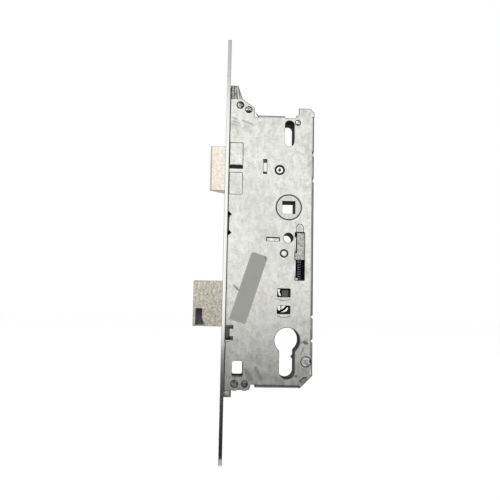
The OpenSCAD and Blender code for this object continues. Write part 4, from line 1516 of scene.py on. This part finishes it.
@dataclass(frozen=True)
class Studio:
    """The pale room round the lock: camera, world, floor, cards and lamps."""

    eye: Corner = (-0.041265, -0.369195, -0.065597)
    turn_deg: Corner = (95.5342, -1.0939, -2.4393)
    lens_mm: float = 37.8606
    sensor_mm: float = 36.0
    clip: Point = (0.01, 20.0)
    fill: float = 0.62
    floor_z: float = -0.1754
    floor_size: float = 6.0
    floor_grey: float = 0.85
    floor_glow: float = 1.12
    floor_seen: float = 0.78
    levels: tuple[tuple[str, float, tuple[Point, ...], float], ...] = (
        ("floor_card", -0.174, ((-1.3, -0.96), (1.3, -0.96), (1.3, 0.96), (-1.3, 0.96)), 0.42),
        ("front_flag", -0.173, ((-0.42, -0.96), (0.4, -0.96), (0.07, -0.02), (-0.1, -0.02)), 0.02),
        ("ceiling_card", 1.0, ((-2.2, -2.2), (2.2, -2.2), (2.2, 2.2), (-2.2, 2.2)), 0.45),
    )
    walls: tuple[tuple[str, Point, Point, float], ...] = (
        ("left_card", (-1.7, -0.9), (-1.7, 2.1), 0.7),
        ("right_card", (1.7, -0.9), (1.7, 2.1), 0.7),
        ("rear_card", (-1.7, 2.1), (1.7, 2.1), 0.8),
    )
    wall_z: Point = (-0.2, 1.0)
    lamps: tuple[tuple[str, Corner, float, float, bool], ...] = (
        ("key", (-0.5, -0.75, 0.75), 0.5, 4.0, True),
        ("fill", (0.8, -0.6, 0.25), 0.6, 2.0, False),
        ("back", (0.3, 0.9, 0.5), 0.6, 2.0, False),
    )
    aim: Corner = (-0.01, 0.0, -0.02)

    def camera(self) -> None:
        """Puts the camera where the photograph was taken from."""
        data = bpy.data.cameras.new("camera")
        data.lens = self.lens_mm
        data.sensor_width = self.sensor_mm
        data.clip_start, data.clip_end = self.clip
        eye = bpy.data.objects.new("camera", data)
        eye.location = self.eye
        eye.rotation_euler = tuple(math.radians(a) for a in self.turn_deg)
        bpy.context.scene.collection.objects.link(eye)
        bpy.context.scene.camera = eye

    def seen(self, tree: bpy.types.NodeTree) -> Value:
        """Tells rays that show the background, straight or in metal or glass, from the rest.

        Args:
            tree: The node tree that asks.

        Returns:
            1 for such rays, and 0 for the rest.
        """
        path = tree.nodes.new("ShaderNodeLightPath")
        names = ("Is Camera Ray", "Is Glossy Ray", "Is Transmission Ray")
        camera, glossy, through = (Value(tree, path.outputs[name]) for name in names)
        total = camera + glossy + through
        return total.math("MINIMUM", total, 1.0)

    def world(self) -> None:
        """Makes the world white where it is seen and plainer where it lights."""
        world = bpy.data.worlds.new("studio")
        world.use_nodes = True
        bpy.context.scene.world = world
        tree = world.node_tree
        back = tree.nodes["Background"]
        back.inputs["Color"].default_value = (1.0, 1.0, 1.0, 1.0)
        strength = self.fill + (1.0 - self.fill) * self.seen(tree)
        tree.links.new(strength.socket, back.inputs["Strength"])

    def floor(self) -> None:
        """Lays a pale floor that keeps a soft shadow."""
        let_go()
        bpy.ops.mesh.primitive_plane_add(size=self.floor_size, location=(0.0, 0.0, self.floor_z))
        plane = bpy.context.object
        plane.name = "floor"
        material, surface = blank_material("floor")
        tree = material.node_tree
        mix = tree.nodes.new("ShaderNodeMixShader")
        matt = tree.nodes.new("ShaderNodeBsdfDiffuse")
        matt.inputs["Color"].default_value = (*[self.floor_grey] * 3, 1.0)
        glow = tree.nodes.new("ShaderNodeEmission")
        glow.inputs["Strength"].default_value = self.floor_glow
        share = self.floor_seen * self.seen(tree)
        tree.links.new(share.socket, mix.inputs[0])
        tree.links.new(matt.outputs[0], mix.inputs[1])
        tree.links.new(glow.outputs[0], mix.inputs[2])
        tree.links.new(mix.outputs[0], surface)
        plane.data.materials.append(material)

    def card(self, name: str, corners: Sequence[Corner], grey: float) -> None:
        """Hangs a matt card in the room that only metal sees.

        Args:
            name: The card's name.
            corners: Its corners in turn, in metres.
            grey: Its grey level.
        """
        points = [Vector(corner) for corner in corners]
        card = traced([point - points[0] for point in points], points[0])
        with editing(card):
            bpy.ops.mesh.edge_face_add()
        card.name = name
        material, surface = blank_material(name)
        glow = material.node_tree.nodes.new("ShaderNodeEmission")
        glow.inputs["Color"].default_value = (grey, grey, grey, 1.0)
        material.node_tree.links.new(glow.outputs[0], surface)
        card.data.materials.append(material)
        card.visible_camera = False
        card.visible_diffuse = False
        card.visible_shadow = False
        card.visible_transmission = False

    def lamp(self, name: str, place: Corner, size: float, power: float, glossy: bool) -> None:
        """Hangs one soft lamp.

        Args:
            name: The lamp's name.
            place: Where it hangs.
            size: The side of its square face.
            power: Its power in watts.
            glossy: Whether metal shows it.
        """
        data = bpy.data.lights.new(name, "AREA")
        data.size = size
        data.energy = power
        lamp = bpy.data.objects.new(name, data)
        lamp.location = place
        way = Vector(self.aim) - Vector(place)
        lamp.rotation_euler = way.to_track_quat("-Z", "Y").to_euler()
        lamp.visible_glossy = glossy
        bpy.context.scene.collection.objects.link(lamp)

    def build(self) -> None:
        """Sets up the whole studio."""
        self.camera()
        self.world()
        self.floor()
        for name, z, plan, grey in self.levels:
            self.card(name, [(x, y, z) for x, y in plan], grey)
        low, high = self.wall_z
        for name, start, end, grey in self.walls:
            self.card(name, [(*start, low), (*end, low), (*end, high), (*start, high)], grey)
        for lamp in self.lamps:
            self.lamp(*lamp)
        bpy.context.scene.view_settings.view_transform = "Standard"


def main() -> None:
    """Loads the frame, dresses it and sets up the studio."""
    logging.basicConfig(level=logging.INFO, format="%(message)s")
    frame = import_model()
    Studio().build()
    finishes = Finishes()
    CadDress(finishes, frame["nodes"]).build()
    Trim().build(finishes)


if __name__ == "__main__":
    main()
